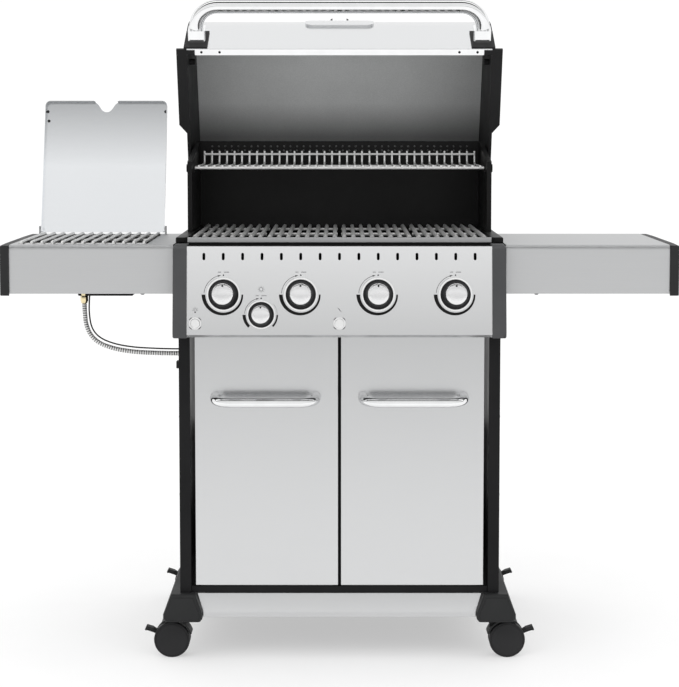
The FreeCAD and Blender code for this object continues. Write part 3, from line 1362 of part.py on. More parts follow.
# ---------------------------------------------------------------- all pieces
def main():
    os.makedirs("parts", exist_ok=True)
    save("base_shelf", base_shelf())
    save("base_fascia", base_fascia())
    save("cabinet_back", cabinet_back())
    save("door_frame", door_frame())
    rail = foot_rail()
    side_panel = cabinet_side()
    for side, name in ((1, "right"), (-1, "left")):
        save("foot_rail_" + name, rail if side > 0 else mirrored(rail))
        save("cabinet_side_" + name, side_panel if side > 0 else mirrored(side_panel))
        save("door_" + name, door(side))
        save("door_handle_" + name, door_handle(side))
        save("side_shelf_" + name, right_shelf() if side > 0 else left_shelf())
        for y, place in ((CASTER_FRONT_Y, "front"), (CASTER_REAR_Y, "rear")):
            x = side * CASTER_X
            corner = place + "_" + name
            save("caster_body_" + corner, caster_core(x, y, side))
            save("caster_wheels_" + corner, caster_wheel(x, y, side))
            save("caster_lever_" + corner, caster_lever(x, y, side))

    save("control_panel", control_panel())
    save("panel_end_caps", panel_end_caps())
    save("control_bezels", control_bezels())
    save("gas_manifold", gas_manifold())
    for i, (x, z, scale) in enumerate(control_places()):
        name = "side_burner_knob" if scale < 1 else "burner_knob_" + str(i + 1)
        save(name, knob(x, z, scale))
    save("light_button", button(LIGHT_BUTTON_X))
    save("ignition_button", button(SPARK_BUTTON_X))

    save("cookbox", cookbox())
    save("cookbox_trim", front_trim())
    save("cooking_grates", cooking_grates())
    save("heat_tents", heat_tents())
    save("burners", burners())
    save("hood_surround", hood())
    save("warming_rack", warming_rack())
    save("grease_tray", grease_tray())

    save("lid_skin", lid_skin())
    save("lid_end_caps", lid_end_caps())
    save("lid_handle", lid_handle())
    save("handle_ferrules", handle_ferrules())
    save("badge_plate", badge_plate())
    save("thermometer", thermometer())

    save("shelf_end_caps", shelf_end_caps())
    save("side_burner_pan", side_burner_pan())
    save("side_burner_head", side_burner_head())
    save("side_burner_grate", side_burner_grate())
    save("side_burner_lid", side_burner_lid())
    save("hose_fitting", hose_fitting())
    save("hose_grommet", hose_grommet())
    save("burner_hose", cord_tube("burner_hose", HOSE_ROUTE, HOSE_RADIUS))
    save("igniter_wire", cord_tube("igniter_wire", WIRE_ROUTE, WIRE_RADIUS))


main()
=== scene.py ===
"""Looks for the gas barbecue grill: materials, fine pieces, printed marks, studio and camera.

Every size is in millimetres times MM, in the part's own frame. Places come from the CAD
nodes' boxes and from the joints.
"""

import json
import math

import bmesh
import bpy
from mathutils import Matrix, Vector


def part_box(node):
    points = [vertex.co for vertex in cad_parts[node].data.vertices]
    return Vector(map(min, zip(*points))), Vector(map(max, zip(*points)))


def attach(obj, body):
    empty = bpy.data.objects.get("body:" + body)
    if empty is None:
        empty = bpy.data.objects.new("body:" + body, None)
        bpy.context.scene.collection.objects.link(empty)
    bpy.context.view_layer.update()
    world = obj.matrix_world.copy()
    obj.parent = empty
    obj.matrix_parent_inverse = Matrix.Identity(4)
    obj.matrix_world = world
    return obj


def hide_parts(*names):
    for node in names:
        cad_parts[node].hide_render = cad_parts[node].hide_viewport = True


MM = 0.001
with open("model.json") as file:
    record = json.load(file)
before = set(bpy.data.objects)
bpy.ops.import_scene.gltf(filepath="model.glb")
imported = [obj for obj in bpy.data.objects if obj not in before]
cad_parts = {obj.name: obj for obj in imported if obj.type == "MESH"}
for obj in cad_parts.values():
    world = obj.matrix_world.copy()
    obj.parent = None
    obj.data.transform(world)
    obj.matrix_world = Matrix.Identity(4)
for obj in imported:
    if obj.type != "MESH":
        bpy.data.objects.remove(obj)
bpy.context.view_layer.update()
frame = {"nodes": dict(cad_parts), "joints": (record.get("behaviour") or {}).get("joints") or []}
nodes = frame["nodes"]
joints = {joint["name"]: joint for joint in frame["joints"]}
X_AXIS = Vector((1, 0, 0))
Y_AXIS = Vector((0, 1, 0))
Z_AXIS = Vector((0, 0, 1))


# ---------------------------------------------------------------- materials
def new_material(name):
    """A new material: itself, its node tree, its Principled shader and its object coordinates."""
    material = bpy.data.materials.new(name)
    material.use_nodes = True
    tree = material.node_tree
    tree.nodes.clear()
    output = tree.nodes.new("ShaderNodeOutputMaterial")
    shader = tree.nodes.new("ShaderNodeBsdfPrincipled")
    tree.links.new(shader.outputs["BSDF"], output.inputs["Surface"])
    coordinates = tree.nodes.new("ShaderNodeTexCoord")
    return material, tree, shader, coordinates.outputs["Object"]


def noise(tree, vector, scale, stretch=(1, 1, 1), detail=4.0, rough=0.6):
    """Noise over stretched object coordinates."""
    mapping = tree.nodes.new("ShaderNodeMapping")
    mapping.inputs["Scale"].default_value = stretch
    tree.links.new(vector, mapping.inputs["Vector"])
    texture = tree.nodes.new("ShaderNodeTexNoise")
    texture.inputs["Scale"].default_value = scale
    texture.inputs["Detail"].default_value = detail
    texture.inputs["Roughness"].default_value = rough
    tree.links.new(mapping.outputs["Vector"], texture.inputs["Vector"])
    return texture.outputs["Fac"]


def spread(tree, value, low, high, start=0.0, end=1.0):
    """Maps a 0..1 value to a range."""
    remap = tree.nodes.new("ShaderNodeMapRange")
    remap.inputs["From Min"].default_value = start
    remap.inputs["From Max"].default_value = end
    remap.inputs["To Min"].default_value = low
    remap.inputs["To Max"].default_value = high
    tree.links.new(value, remap.inputs["Value"])
    return remap.outputs["Result"]


def tint(tree, value, dark, light, start=0.3, end=0.7):
    """A colour between two, following a 0..1 value."""
    ramp = tree.nodes.new("ShaderNodeValToRGB")
    ramp.color_ramp.elements[0].position = start
    ramp.color_ramp.elements[0].color = (*dark, 1)
    ramp.color_ramp.elements[1].position = end
    ramp.color_ramp.elements[1].color = (*light, 1)
    tree.links.new(value, ramp.inputs["Fac"])
    return ramp.outputs["Color"]


def bump(tree, shader, heights, distance):
    """Chains height signals, each a (value, strength) pair, into the shader's normal."""
    normal = None
    for value, strength in heights:
        node = tree.nodes.new("ShaderNodeBump")
        node.inputs["Strength"].default_value = strength
        node.inputs["Distance"].default_value = distance
        tree.links.new(value, node.inputs["Height"])
        if normal is not None:
            tree.links.new(normal, node.inputs["Normal"])
        normal = node.outputs["Normal"]
    tree.links.new(normal, shader.inputs["Normal"])


def painted_shading(tree, colour, bottom, top, start=0.0, end=1.0):
    """Painted light and shade: a colour scaled by a factor that runs from the object's bottom to
    its top.
    """
    place = tree.nodes.new("ShaderNodeTexCoord")
    split = tree.nodes.new("ShaderNodeSeparateXYZ")
    tree.links.new(place.outputs["Generated"], split.inputs["Vector"])
    scale = tree.nodes.new("ShaderNodeVectorMath")
    scale.operation = "SCALE"
    tree.links.new(colour, scale.inputs["Vector"])
    factor = spread(tree, split.outputs["Z"], bottom, top, start, end)
    tree.links.new(factor, scale.inputs["Scale"])
    return scale.outputs["Vector"]


def blended(tree, first, share, second):
    """The first value times a share, plus the second value."""
    node = tree.nodes.new("ShaderNodeMath")
    node.operation = "MULTIPLY_ADD"
    node.inputs[1].default_value = share
    tree.links.new(first, node.inputs[0])
    tree.links.new(second, node.inputs[2])
    return node.outputs[0]


def brushed_steel(name, dark, light, rough=(0.20, 0.25), grain=(1.2, 300, 300), painted_fade=None):
    """Stainless sheet: fine brushing along one axis, faint clouding, and optionally painted light
    and shade that runs up its height.
    """
    material, tree, shader, coordinates = new_material(name)
    fine = noise(tree, coordinates, 10.0, grain, detail=2.0, rough=0.5)
    cloud = noise(tree, coordinates, 2.2, detail=1.0, rough=0.3)
    mixed = blended(tree, fine, 0.8, spread(tree, cloud, 0.0, 0.2))
    colour = tint(tree, mixed, dark, light, start=0.2, end=0.8)
    # Painted light and shade: the sheet's colour brightens or darkens up its height
    if painted_fade:
        colour = painted_shading(tree, colour, *painted_fade)
    tree.links.new(colour, shader.inputs["Base Color"])
    tree.links.new(spread(tree, cloud, *rough, start=0.2, end=0.8), shader.inputs["Roughness"])
    shader.inputs["Metallic"].default_value = 1.0
    bump(tree, shader, [(fine, 0.012)], distance=0.0001)
    return material


def polished(name, colour, rough=0.06, metallic=1.0):
    """Chrome or polished bar with faint haze and hairlines."""
    material, tree, shader, coordinates = new_material(name)
    haze = noise(tree, coordinates, 30.0, detail=5.0)
    lines = noise(tree, coordinates, 60.0, stretch=(0.2, 3, 3), detail=2.0)
    dark = tuple(part * 0.94 for part in colour)
    gloss = spread(tree, lines, rough, rough + 0.05, start=0.35, end=0.7)
    tree.links.new(tint(tree, haze, dark, colour), shader.inputs["Base Color"])
    tree.links.new(gloss, shader.inputs["Roughness"])
    shader.inputs["Metallic"].default_value = metallic
    bump(tree, shader, [(haze, 0.015)], distance=0.0002)
    return material


def painted(name, dark, light, rough, peel_scale, peel, specular=0.5):
    """Paint, enamel or moulded plastic: slight colour drift, uneven gloss and a surface texture."""
    material, tree, shader, coordinates = new_material(name)
    drift = noise(tree, coordinates, 7.0)
    texture = noise(tree, coordinates, peel_scale, detail=2.0, rough=0.5)
    gloss = spread(tree, drift, rough - 0.05, rough + 0.07, start=0.3, end=0.7)
    tree.links.new(tint(tree, drift, dark, light), shader.inputs["Base Color"])
    tree.links.new(gloss, shader.inputs["Roughness"])
    shader.inputs["Specular IOR Level"].default_value = specular
    bump(tree, shader, [(texture, peel)], distance=0.0003)
    return material


def speckled_liner(name):
    """The matt aluminised inside of the lid, spangled, with painted shade that darkens it towards
    its back and painted light towards its top.
    """
    material, tree, shader, coordinates = new_material(name)
    grit = noise(tree, coordinates, 420.0, detail=3.0, rough=0.7)
    patch = noise(tree, coordinates, 9.0)
    both = blended(tree, grit, 0.55, spread(tree, patch, 0.1, 0.35))
    colour = tint(tree, both, (0.25, 0.255, 0.255), (0.36, 0.365, 0.365), start=0.3, end=0.75)
    # Painted shade and light: darker towards the bottom of the opened lid, at its back, and
    # brighter towards its top
    colour = painted_shading(tree, colour, bottom=0.83, top=2.05, start=0.38, end=0.57)
    tree.links.new(colour, shader.inputs["Base Color"])
    tree.links.new(spread(tree, grit, 0.5, 0.7), shader.inputs["Roughness"])
    shader.inputs["Metallic"].default_value = 0.2
    bump(tree, shader, [(grit, 0.12)], distance=0.0003)
    return material


def clear_glass(name):
    """Thin clear glass with a trace of dust in its gloss."""
    material, tree, shader, coordinates = new_material(name)
    dust = noise(tree, coordinates, 60.0)
    tree.links.new(tint(tree, dust, (0.97, 0.98, 0.98), (1, 1, 1)), shader.inputs["Base Color"])
    tree.links.new(spread(tree, dust, 0.02, 0.07), shader.inputs["Roughness"])
    shader.inputs["Transmission Weight"].default_value = 1.0
    shader.inputs["IOR"].default_value = 1.45
    return material


# Lighter and darker copies of one stainless steel: painted light and shade for how brightly each
# part is lit. The door, the control panel and the side burner's cover also get painted light and
# shade that runs up their height.
STEEL = brushed_steel("stainless_sheet", (0.525, 0.53, 0.535), (0.56, 0.565, 0.57),
                      rough=(0.40, 0.46))
STEEL_DOOR = brushed_steel("stainless_door", (0.60, 0.605, 0.61), (0.64, 0.645, 0.65),
                           painted_fade=(1.04, 0.83))
STEEL_PANEL = brushed_steel("stainless_panel", (0.71, 0.715, 0.72), (0.745, 0.75, 0.755),
                            painted_fade=(0.86, 1.04))
STEEL_LID = brushed_steel("stainless_lid", (0.71, 0.72, 0.725), (0.745, 0.75, 0.76))
STEEL_COVER = brushed_steel("stainless_cover", (0.70, 0.715, 0.73), (0.74, 0.755, 0.77),
                            painted_fade=(1.32, 0.68, 0.5, 1.0))
STEEL_ROD = polished("stainless_bar", (0.74, 0.74, 0.735), rough=0.36, metallic=0.7)
CHROME = polished("chrome", (0.88, 0.885, 0.89), rough=0.035)
BRIGHT_RING = polished("bright_ring", (0.9, 0.9, 0.9), rough=0.18)
BLACK_STEEL = painted("black_powder_coat", (0.008, 0.008, 0.0085), (0.013, 0.013, 0.0135),
                      rough=0.45, peel_scale=900.0, peel=0.12, specular=0.10)
CAST_BLACK = painted("cast_black", (0.009, 0.009, 0.0095), (0.016, 0.016, 0.0165),
                     rough=0.5, peel_scale=420.0, peel=0.28, specular=0.14)
ENAMEL = painted("black_enamel", (0.006, 0.006, 0.006), (0.011, 0.011, 0.011),
                 rough=0.4, peel_scale=300.0, peel=0.06, specular=0.10)
CHARCOAL = painted("charcoal_plastic", (0.017, 0.0175, 0.018), (0.024, 0.0245, 0.025),
                   rough=0.5, peel_scale=1300.0, peel=0.2, specular=0.16)
PANEL_CAP = painted("panel_cap_plastic", (0.046, 0.047, 0.049), (0.06, 0.061, 0.063),
                    rough=0.5, peel_scale=1300.0, peel=0.18, specular=0.25)
WHEEL = painted("wheel_plastic", (0.017, 0.017, 0.018), (0.024, 0.024, 0.025),
                rough=0.45, peel_scale=1000.0, peel=0.15, specular=0.16)
SKIRT = painted("knob_skirt", (0.010, 0.010, 0.011), (0.016, 0.016, 0.017),
                rough=0.45, peel_scale=1500.0, peel=0.05, specular=0.08)
# Print, and painted shade for the screws' cross recesses
INK_AND_SHADE = painted("printed_ink_and_recess_shade", (0.006, 0.006, 0.006), (0.012, 0.012, 0.012),
              rough=0.5, peel_scale=1500.0, peel=0.05, specular=0.1)
GALVANISED = brushed_steel("galvanised", (0.42, 0.43, 0.44), (0.56, 0.57, 0.58),
                           rough=(0.35, 0.5), grain=(2, 3, 3))
BRASS = polished("brass", (0.86, 0.74, 0.46), rough=0.2)
LINER = speckled_liner("lid_liner")
KNOB_CAP = polished("knob_cap_silver", (0.82, 0.82, 0.825), rough=0.24)
HOSE_METAL = polished("hose_metal", (0.93, 0.93, 0.92), rough=0.42, metallic=0.35)
# Painted shade: a dark grey for the hose's corrugation valleys
HOSE_VALLEY_SHADE = polished("hose_valley_shade", (0.30, 0.30, 0.30), rough=0.5, metallic=0.35)
WIRE_RUBBER = painted("wire_rubber", (0.008, 0.008, 0.008), (0.014, 0.014, 0.014),
                      rough=0.5, peel_scale=1500.0, peel=0.08)
DIAL_FACE = painted("dial_face", (0.80, 0.79, 0.76), (0.86, 0.85, 0.82),
                    rough=0.5, peel_scale=1500.0, peel=0.03)
DIAL_RED = painted("dial_red", (0.42, 0.03, 0.02), (0.50, 0.04, 0.03),
                   rough=0.4, peel_scale=1500.0, peel=0.03)
GLASS = clear_glass("dial_glass")

NODE_MATERIALS = {
    STEEL: ["side_shelf_left", "side_shelf_right", "heat_tents", "burners", "cookbox_trim"],
    STEEL_DOOR: ["door_left", "door_right", "base_fascia"],
    STEEL_PANEL: ["control_panel"],
    STEEL_LID: ["lid_skin", "badge_plate"],
    STEEL_COVER: ["side_burner_lid"],
    STEEL_ROD: ["cooking_grates", "warming_rack", "side_burner_grate"],
    CHROME: ["door_handle_left", "door_handle_right", "lid_handle", "handle_ferrules",
             "thermometer"],
    BRIGHT_RING: ["control_bezels", "light_button", "ignition_button"],
    BLACK_STEEL: ["base_shelf", "cabinet_back", "door_frame", "cabinet_side_left",
                  "cabinet_side_right"],
    CAST_BLACK: ["lid_end_caps"],
    ENAMEL: ["cookbox", "hood_surround", "side_burner_pan", "side_burner_head"],
    CHARCOAL: ["foot_rail_left", "foot_rail_right", "shelf_end_caps", "hose_grommet"],
    PANEL_CAP: ["panel_end_caps"],
    GALVANISED: ["gas_manifold", "grease_tray"],
    BRASS: ["hose_fitting"],
    INK_AND_SHADE: ["igniter_wire"],
}


def dress(name, material):
    """Gives a CAD node one material."""
    nodes[name].data.materials.clear()
    nodes[name].data.materials.append(material)


for material, names in NODE_MATERIALS.items():
    for name in names:
        dress(name, material)
for name in nodes:
    if name.startswith("caster_"):
        dress(name, WHEEL if "wheels" in name else CHARCOAL)
    if "knob" in name:
        dress(name, SKIRT)


# ---------------------------------------------------------------- mesh helpers
SHARP_ANGLE = math.radians(38)


def piece(name, mesh, body, slot, *materials):
    """Puts a finished mesh in the scene as one piece that rides on a body."""
    bmesh.ops.recalc_face_normals(mesh, faces=mesh.faces)
    for face in mesh.faces:
        face.smooth = True
    for edge in mesh.edges:
        edge.smooth = edge.is_boundary or edge.calc_face_angle(0) < SHARP_ANGLE
    data = bpy.data.meshes.new(name)
    mesh.to_mesh(data)
    mesh.free()
    for material in materials:
        data.materials.append(material)
    obj = bpy.data.objects.new(name, data)
    bpy.context.scene.collection.objects.link(obj)
    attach(obj, body)
    return obj


def soften(obj, width, segments=2):
    """Rounds the sharp edges of an object."""
    weld = obj.modifiers.new("weld", "WELD")
    weld.merge_threshold = 0.02 * MM
    bevel = obj.modifiers.new("bevel", "BEVEL")
    bevel.width = width * MM
    bevel.segments = segments
    bevel.limit_method = "ANGLE"
    bevel.angle_limit = math.radians(40)
    normals = obj.modifiers.new("normals", "WEIGHTED_NORMAL")
    normals.keep_sharp = False


def lathe(mesh, profile, place, steps=48, material=0):
    """Turns a (radius, height) profile in mm about the place's Z axis."""
    rings = []
    for radius, height in profile:
        if radius == 0:
            rings.append([mesh.verts.new(place @ Vector((0, 0, height * MM)))])
            continue
        ring = []
        for i in range(steps):
            angle = 2 * math.pi * i / steps
            spot = Vector((radius * math.cos(angle), radius * math.sin(angle), height)) * MM
            ring.append(mesh.verts.new(place @ spot))
        rings.append(ring)
    for low, high in zip(rings, rings[1:]):
        if len(low) == len(high) == 1:
            continue
        for i in range(steps):
            corners = [low[i % len(low)], low[(i + 1) % len(low)],
                       high[(i + 1) % len(high)], high[i % len(high)]]
            corners = [v for j, v in enumerate(corners) if v not in corners[:j]]
            mesh.faces.new(corners).material_index = material


def plate(mesh, outline, low, high, place, material=0):
    """A flat plate with an (x, y) outline in mm, between two heights over the place's surface."""
    bottom = [mesh.verts.new(place @ (Vector((x, y, low)) * MM)) for x, y in outline]
    top = [mesh.verts.new(place @ (Vector((x, y, high)) * MM)) for x, y in outline]
    faces = [mesh.faces.new(bottom[::-1]), mesh.faces.new(top)]
    for i in range(len(outline)):
        j = (i + 1) % len(outline)
        faces.append(mesh.faces.new([bottom[i], bottom[j], top[j], top[i]]))
    for face in faces:
        face.material_index = material


def block(x0, y0, x1, y1):
    """The outline of a rectangle between two corners."""
    return [(x0, y0), (x1, y0), (x1, y1), (x0, y1)]


def strip(mesh, inner, outer, low, high, place, material=0):
    """A flat band between two lines of (x, y) points."""
    for i in range(len(inner) - 1):
        plate(mesh, [inner[i], outer[i], outer[i + 1], inner[i + 1]], low, high, place, material)


def arc(radius, start, end, steps=28):
    """Points on an arc; the radius is a number or a function of the share of the way along."""
    points = []
    for i in range(steps + 1):
        share = i / steps
        angle = math.radians(start + (end - start) * share)
        reach = radius(share) if callable(radius) else radius
        points.append((reach * math.cos(angle), reach * math.sin(angle)))
    return points


def disc(mesh, x, y, radius, low, high, place, material=0):
    """A small round plate with 24 sides."""
    rim = [(x + a, y + b) for a, b in arc(radius, 0, 345, 23)]
    plate(mesh, rim, low, high, place, material)


def facing(spot, out, up=None):
    """A place at a point, its Z axis along the outward direction."""
    out = Vector(out).normalized()
    if up is None:
        up = Z_AXIS if abs(out.z) < 0.9 else Y_AXIS
    side = Vector(up).cross(out).normalized()
    up = out.cross(side)
    place = Matrix((side, up, out)).transposed().to_4x4()
    place.translation = Vector(spot)
    return place


def screw(mesh, place, radius=4.0, head=0, recess=1):
    """A pan-head screw; its cross recess is a flat dark cross on the dome, painted shade in place
    of a hollow.
    """
    dome = [(radius, 0), (radius, 0.5), (radius * 0.86, 1.3), (radius * 0.5, 1.9), (0, 2.1)]
    lathe(mesh, dome, place, 24, head)
    # Painted shade: the recess is drawn as a dark cross standing on the head
    arm, wide = radius * 0.5, radius * 0.13
    for long_x in (True, False):
        a, b = (arm, wide) if long_x else (wide, arm)
        plate(mesh, block(-a, -b, a, b), 1.7, 2.14, place, recess)


# ---------------------------------------------------------------- cords
HOSE_DIAMETER = 11.0
WIRE_DIAMETER = 3.4
CORD_Y = -111.86
HOSE_POINTS = [(-570, 777), (-570, 740), (-565, 700), (-544, 672), (-505, 657), (-460, 650),
               (-418, 648), (-381, 647), (-350, 647)]
WIRE_POINTS = [(-557, 790), (-559, 764), (-559.6, 738), (-555, 704), (-537, 681.5),
               (-502, 667.5), (-459, 660.5), (-418, 658.4), (-381, 657), (-350, 657)]
HOSE_SIDES = 20
WIRE_SIDES = 12
# How far each ring of one corrugation lies below the hose's crest
HOSE_CRIMP = [0.0, 0.3, 1.0, 0.3]
HOSE_RING_SPACING = 1.3
WIRE_RING_SPACING = 3.0


def smooth_line(name, points):
    """The NURBS line of a cord's route, read as points in metres."""
    curve = bpy.data.curves.new(name, "CURVE")
    curve.dimensions = "3D"
    curve.resolution_u = 24
    spline = curve.splines.new("NURBS")
    spline.points.add(len(points) - 1)
    for knot, (x, z) in zip(spline.points, points):
        knot.co = (x * MM, CORD_Y * MM, z * MM, 1)
    spline.order_u = 3
    spline.use_endpoint_u = True
    carrier = bpy.data.objects.new(name, curve)
    line = [v.co.copy() for v in bpy.data.meshes.new_from_object(carrier).vertices]
    bpy.data.objects.remove(carrier)
    return line


def evenly(line, spacing):
    """Points along a line, a fixed distance apart."""
    result = [line[0]]
    for a, b in zip(line, line[1:]):
        while (b - result[-1]).length >= spacing and (b - a).length > 0:
            result.append(result[-1] + (b - result[-1]).normalized() * spacing)
    result.append(line[-1])
    return result


def cord_mesh(line, radius_at, steps):
    """A closed tube along a line in the XZ plane, its radius given by the ring's number."""
    mesh = bmesh.new()
    rings = []
    for i, spot in enumerate(line):
        run = (line[min(i + 1, len(line) - 1)] - line[max(i - 1, 0)]).normalized()
        across = run.cross(Y_AXIS).normalized()
        ring = []
        for k in range(steps):
            angle = 2 * math.pi * k / steps
            way = across * math.cos(angle) + Y_AXIS * math.sin(angle)
            ring.append(mesh.verts.new(spot + way * radius_at(i)))
        rings.append(ring)
    for a, b in zip(rings, rings[1:]):
        for k in range(steps):
            mesh.faces.new([a[k], a[(k + 1) % steps], b[(k + 1) % steps], b[k]])
    mesh.faces.new(rings[0][::-1])
    mesh.faces.new(rings[-1])
    return mesh


def cords():
    """The corrugated gas hose of the side burner and the igniter wire that runs along it."""
    line = evenly(smooth_line("hose_line", HOSE_POINTS), HOSE_RING_SPACING * MM)
    outer = HOSE_DIAMETER / 2
    rings = len(HOSE_CRIMP)
    mesh = cord_mesh(line, lambda i: (outer - HOSE_CRIMP[i % rings]) * MM, HOSE_SIDES)
    # Painted shade: the faces in each corrugation valley get the dark grey
    for number, face in enumerate(mesh.faces):
        in_shaded_valley = number // HOSE_SIDES % rings in (1, 2)
        face.material_index = 1 if in_shaded_valley else 0
    hose = piece("gas_hose", mesh, "cart", "hose_metal", HOSE_METAL, HOSE_VALLEY_SHADE)
    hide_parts("burner_hose")
    line = evenly(smooth_line("wire_line", WIRE_POINTS), WIRE_RING_SPACING * MM)
    mesh = cord_mesh(line, lambda i: WIRE_DIAMETER / 2 * MM, WIRE_SIDES)
    wire = piece("spark_wire", mesh, "cart", "wire_rubber", WIRE_RUBBER)
    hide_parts("igniter_wire")


# ---------------------------------------------------------------- control panel
PANEL_OUT = Vector(joints["burner_knob_1_turn"]["axis"]).normalized()
PANEL_UP = PANEL_OUT.cross(X_AXIS)
PANEL_SPOT = Vector(joints["burner_knob_1_turn"]["pos_m"])
SIDE_KNOB_SCALE = 27.0 / 31.7
LIGHT_X = -302.0
SPARK_X = 0.0
BUTTON_Z = 743.0
# Printed marks stand this far above the panel, in mm
INK_LOW = 0.05
INK_HIGH = 0.2
# Radii of the printed rings round a large knob, in mm
HEAT_RING = 37.8
LIGHT_UP_RING = 40.6
THIN_RING = 36.6
TICK_ROW = 47.0
TICK_PLACES = (-11.0, -8.8, -6.6, 1.0, 3.2, 5.4, 7.6, 9.8)
# The heat arc's width at its wide end, and how much of that it loses, in mm
HEAT_WIDTH = 8.0
HEAT_TAPER = 4.4
# How far in degrees each end of a cut heat arc runs
CUT_SWEEP = 45
# Dashes round a button: inner and outer radius in mm, middles and half length in degrees
DASH_RING = (13.2, 14.6)
DASH_MIDDLES = (45, 135, 225, 315)
DASH_HALF = 15
# The pointer dot on a large knob's cap: its reach, radius, bottom and top in mm
POINTER_DOT = (16.6, 2.1, 35.8, 36.9)
SYMBOL_RISE = 28.0
BURNER_SYMBOL_RISE = 53.0
# Knob profiles as (radius, height over the panel) in mm
SKIRT_PROFILE = [(27.5, 1.8), (31.2, 1.8), (31.7, 2.4), (31.7, 4.2), (30.9, 5.6), (28.2, 9.5),
                 (25.9, 15.0), (24.4, 21.5), (23.7, 28.0), (23.5, 31.2), (22.6, 31.8)]
CAP_PROFILE = [(22.4, 30.6), (22.4, 33.2), (21.9, 34.4), (20.6, 35.4), (16.0, 36.7), (9.0, 37.6),
               (0, 38.0)]


def on_panel(x, z):
    """A place on the control panel at an x and height in mm, its Z axis straight out of it."""
    rise = (z * MM - PANEL_SPOT.z) / PANEL_UP.z
    spot = Vector((x * MM, PANEL_SPOT.y, PANEL_SPOT.z)) + PANEL_UP * rise
    return facing(spot, PANEL_OUT, PANEL_UP)


def control_knob(number, joint, node, scale):
    """A flared dark skirt, a bright domed cap and its pointer dot."""
    body = joints[joint]["child"]
    spot = Vector(joints[joint]["pos_m"])
    place = facing(spot, PANEL_OUT, PANEL_UP)
    mesh = bmesh.new()
    lathe(mesh, [(r * scale, h * scale) for r, h in SKIRT_PROFILE], place, 64)
    skirt = piece("knob_skirt_" + number, mesh, body, "knob", SKIRT)
    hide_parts(node)
    mesh = bmesh.new()
    lathe(mesh, [(r * scale, h * scale) for r, h in CAP_PROFILE], place, 64)
    piece("knob_cap_" + number, mesh, body, "chrome", KNOB_CAP)
    mesh = bmesh.new()
    reach, radius, low, high = [size * scale for size in POINTER_DOT]
    disc(mesh, 0, reach, radius, low, high, place)
    piece("knob_pointer_" + number, mesh, body, "knob", INK_AND_SHADE)


def printed(mesh, inner, outer, place):
    """A printed band between two lines of points."""
    strip(mesh, inner, outer, INK_LOW, INK_HIGH, place)


def knob_marks(mesh, place, scale, cut):
    """The printed heat arc, light-up arrow, off dot and tick row round a knob.

    Where the arc runs off the panel it is cut to its two ends.
    """
    def heat(share):
        return HEAT_RING + HEAT_WIDTH - HEAT_TAPER * share

    inner = HEAT_RING * scale
    sweep = CUT_SWEEP if cut else 180
    ends = [(180, 180 + sweep, 0.0, sweep / 180)]
    if cut:
        ends.append((360 - sweep, 360, 1 - sweep / 180, 1.0))
    for start, end, share_a, share_b in ends:
        outer = arc(lambda s: heat(share_a + (share_b - share_a) * s) * scale, start, end)
        printed(mesh, arc(inner, start, end), outer, place)
    thin = LIGHT_UP_RING * scale
    near = THIN_RING * scale
    printed(mesh, arc(thin - 0.45, 176, 106), arc(thin + 0.45, 176, 106), place)
    printed(mesh, arc(near, 150, 112), arc(near + 0.3, 150, 112), place)
    if cut:
        printed(mesh, arc(thin - 0.8, 4, 42), arc(thin - 0.4, 4, 42), place)
    tip = math.radians(97)
    root = math.radians(107)
    arrow = [(thin * math.cos(tip), thin * math.sin(tip))]
    for reach in (thin - 1.7, thin + 1.7):
        arrow.append((reach * math.cos(root), reach * math.sin(root)))
    plate(mesh, arrow, INK_LOW, INK_HIGH, place)
    disc(mesh, 0, thin, 1.6, INK_LOW, INK_HIGH, place)
    row = TICK_ROW * scale
    for x in TICK_PLACES:
        plate(mesh, block(x, row - 1, x + 1.1, row + 1), INK_LOW, INK_HIGH, place)


def lamp_symbol(mesh, place):
    """A small lamp: an open ring, a foot and short rays."""
    printed(mesh, arc(2.3, -60, 240), arc(3.0, -60, 240), place)
    plate(mesh, block(-1.4, -6, 1.4, -3.2), INK_LOW, INK_HIGH, place)
    for angle in (-10, 35, 90, 145, 190):
        way = Matrix.Rotation(math.radians(angle), 4, "Z")
        plate(mesh, block(4.2, -0.35, 6.2, 0.35), INK_LOW, INK_HIGH, place @ way)


def ring_symbol(mesh, place):
    """A small burner: a ring with eight ports."""
    printed(mesh, arc(3.4, 0, 360), arc(4.2, 0, 360), place)
    for i in range(8):
        angle = math.radians(45 * i)
        x, y = 6.2 * math.cos(angle), 6.2 * math.sin(angle)
        disc(mesh, x, y, 0.7, INK_LOW, INK_HIGH, place)


def spark_symbol(mesh, place):
    """A small spark: a slanted stroke with a kink."""
    plate(mesh, [(-4.2, 4.4), (-3.0, 4.4), (0.9, 0.3), (-0.4, 0.1)], INK_LOW, INK_HIGH, place)
    plate(mesh, [(-0.9, 0.4), (0.4, 0.6), (4.2, -4.4), (3.2, -4.0)], INK_LOW, INK_HIGH, place)


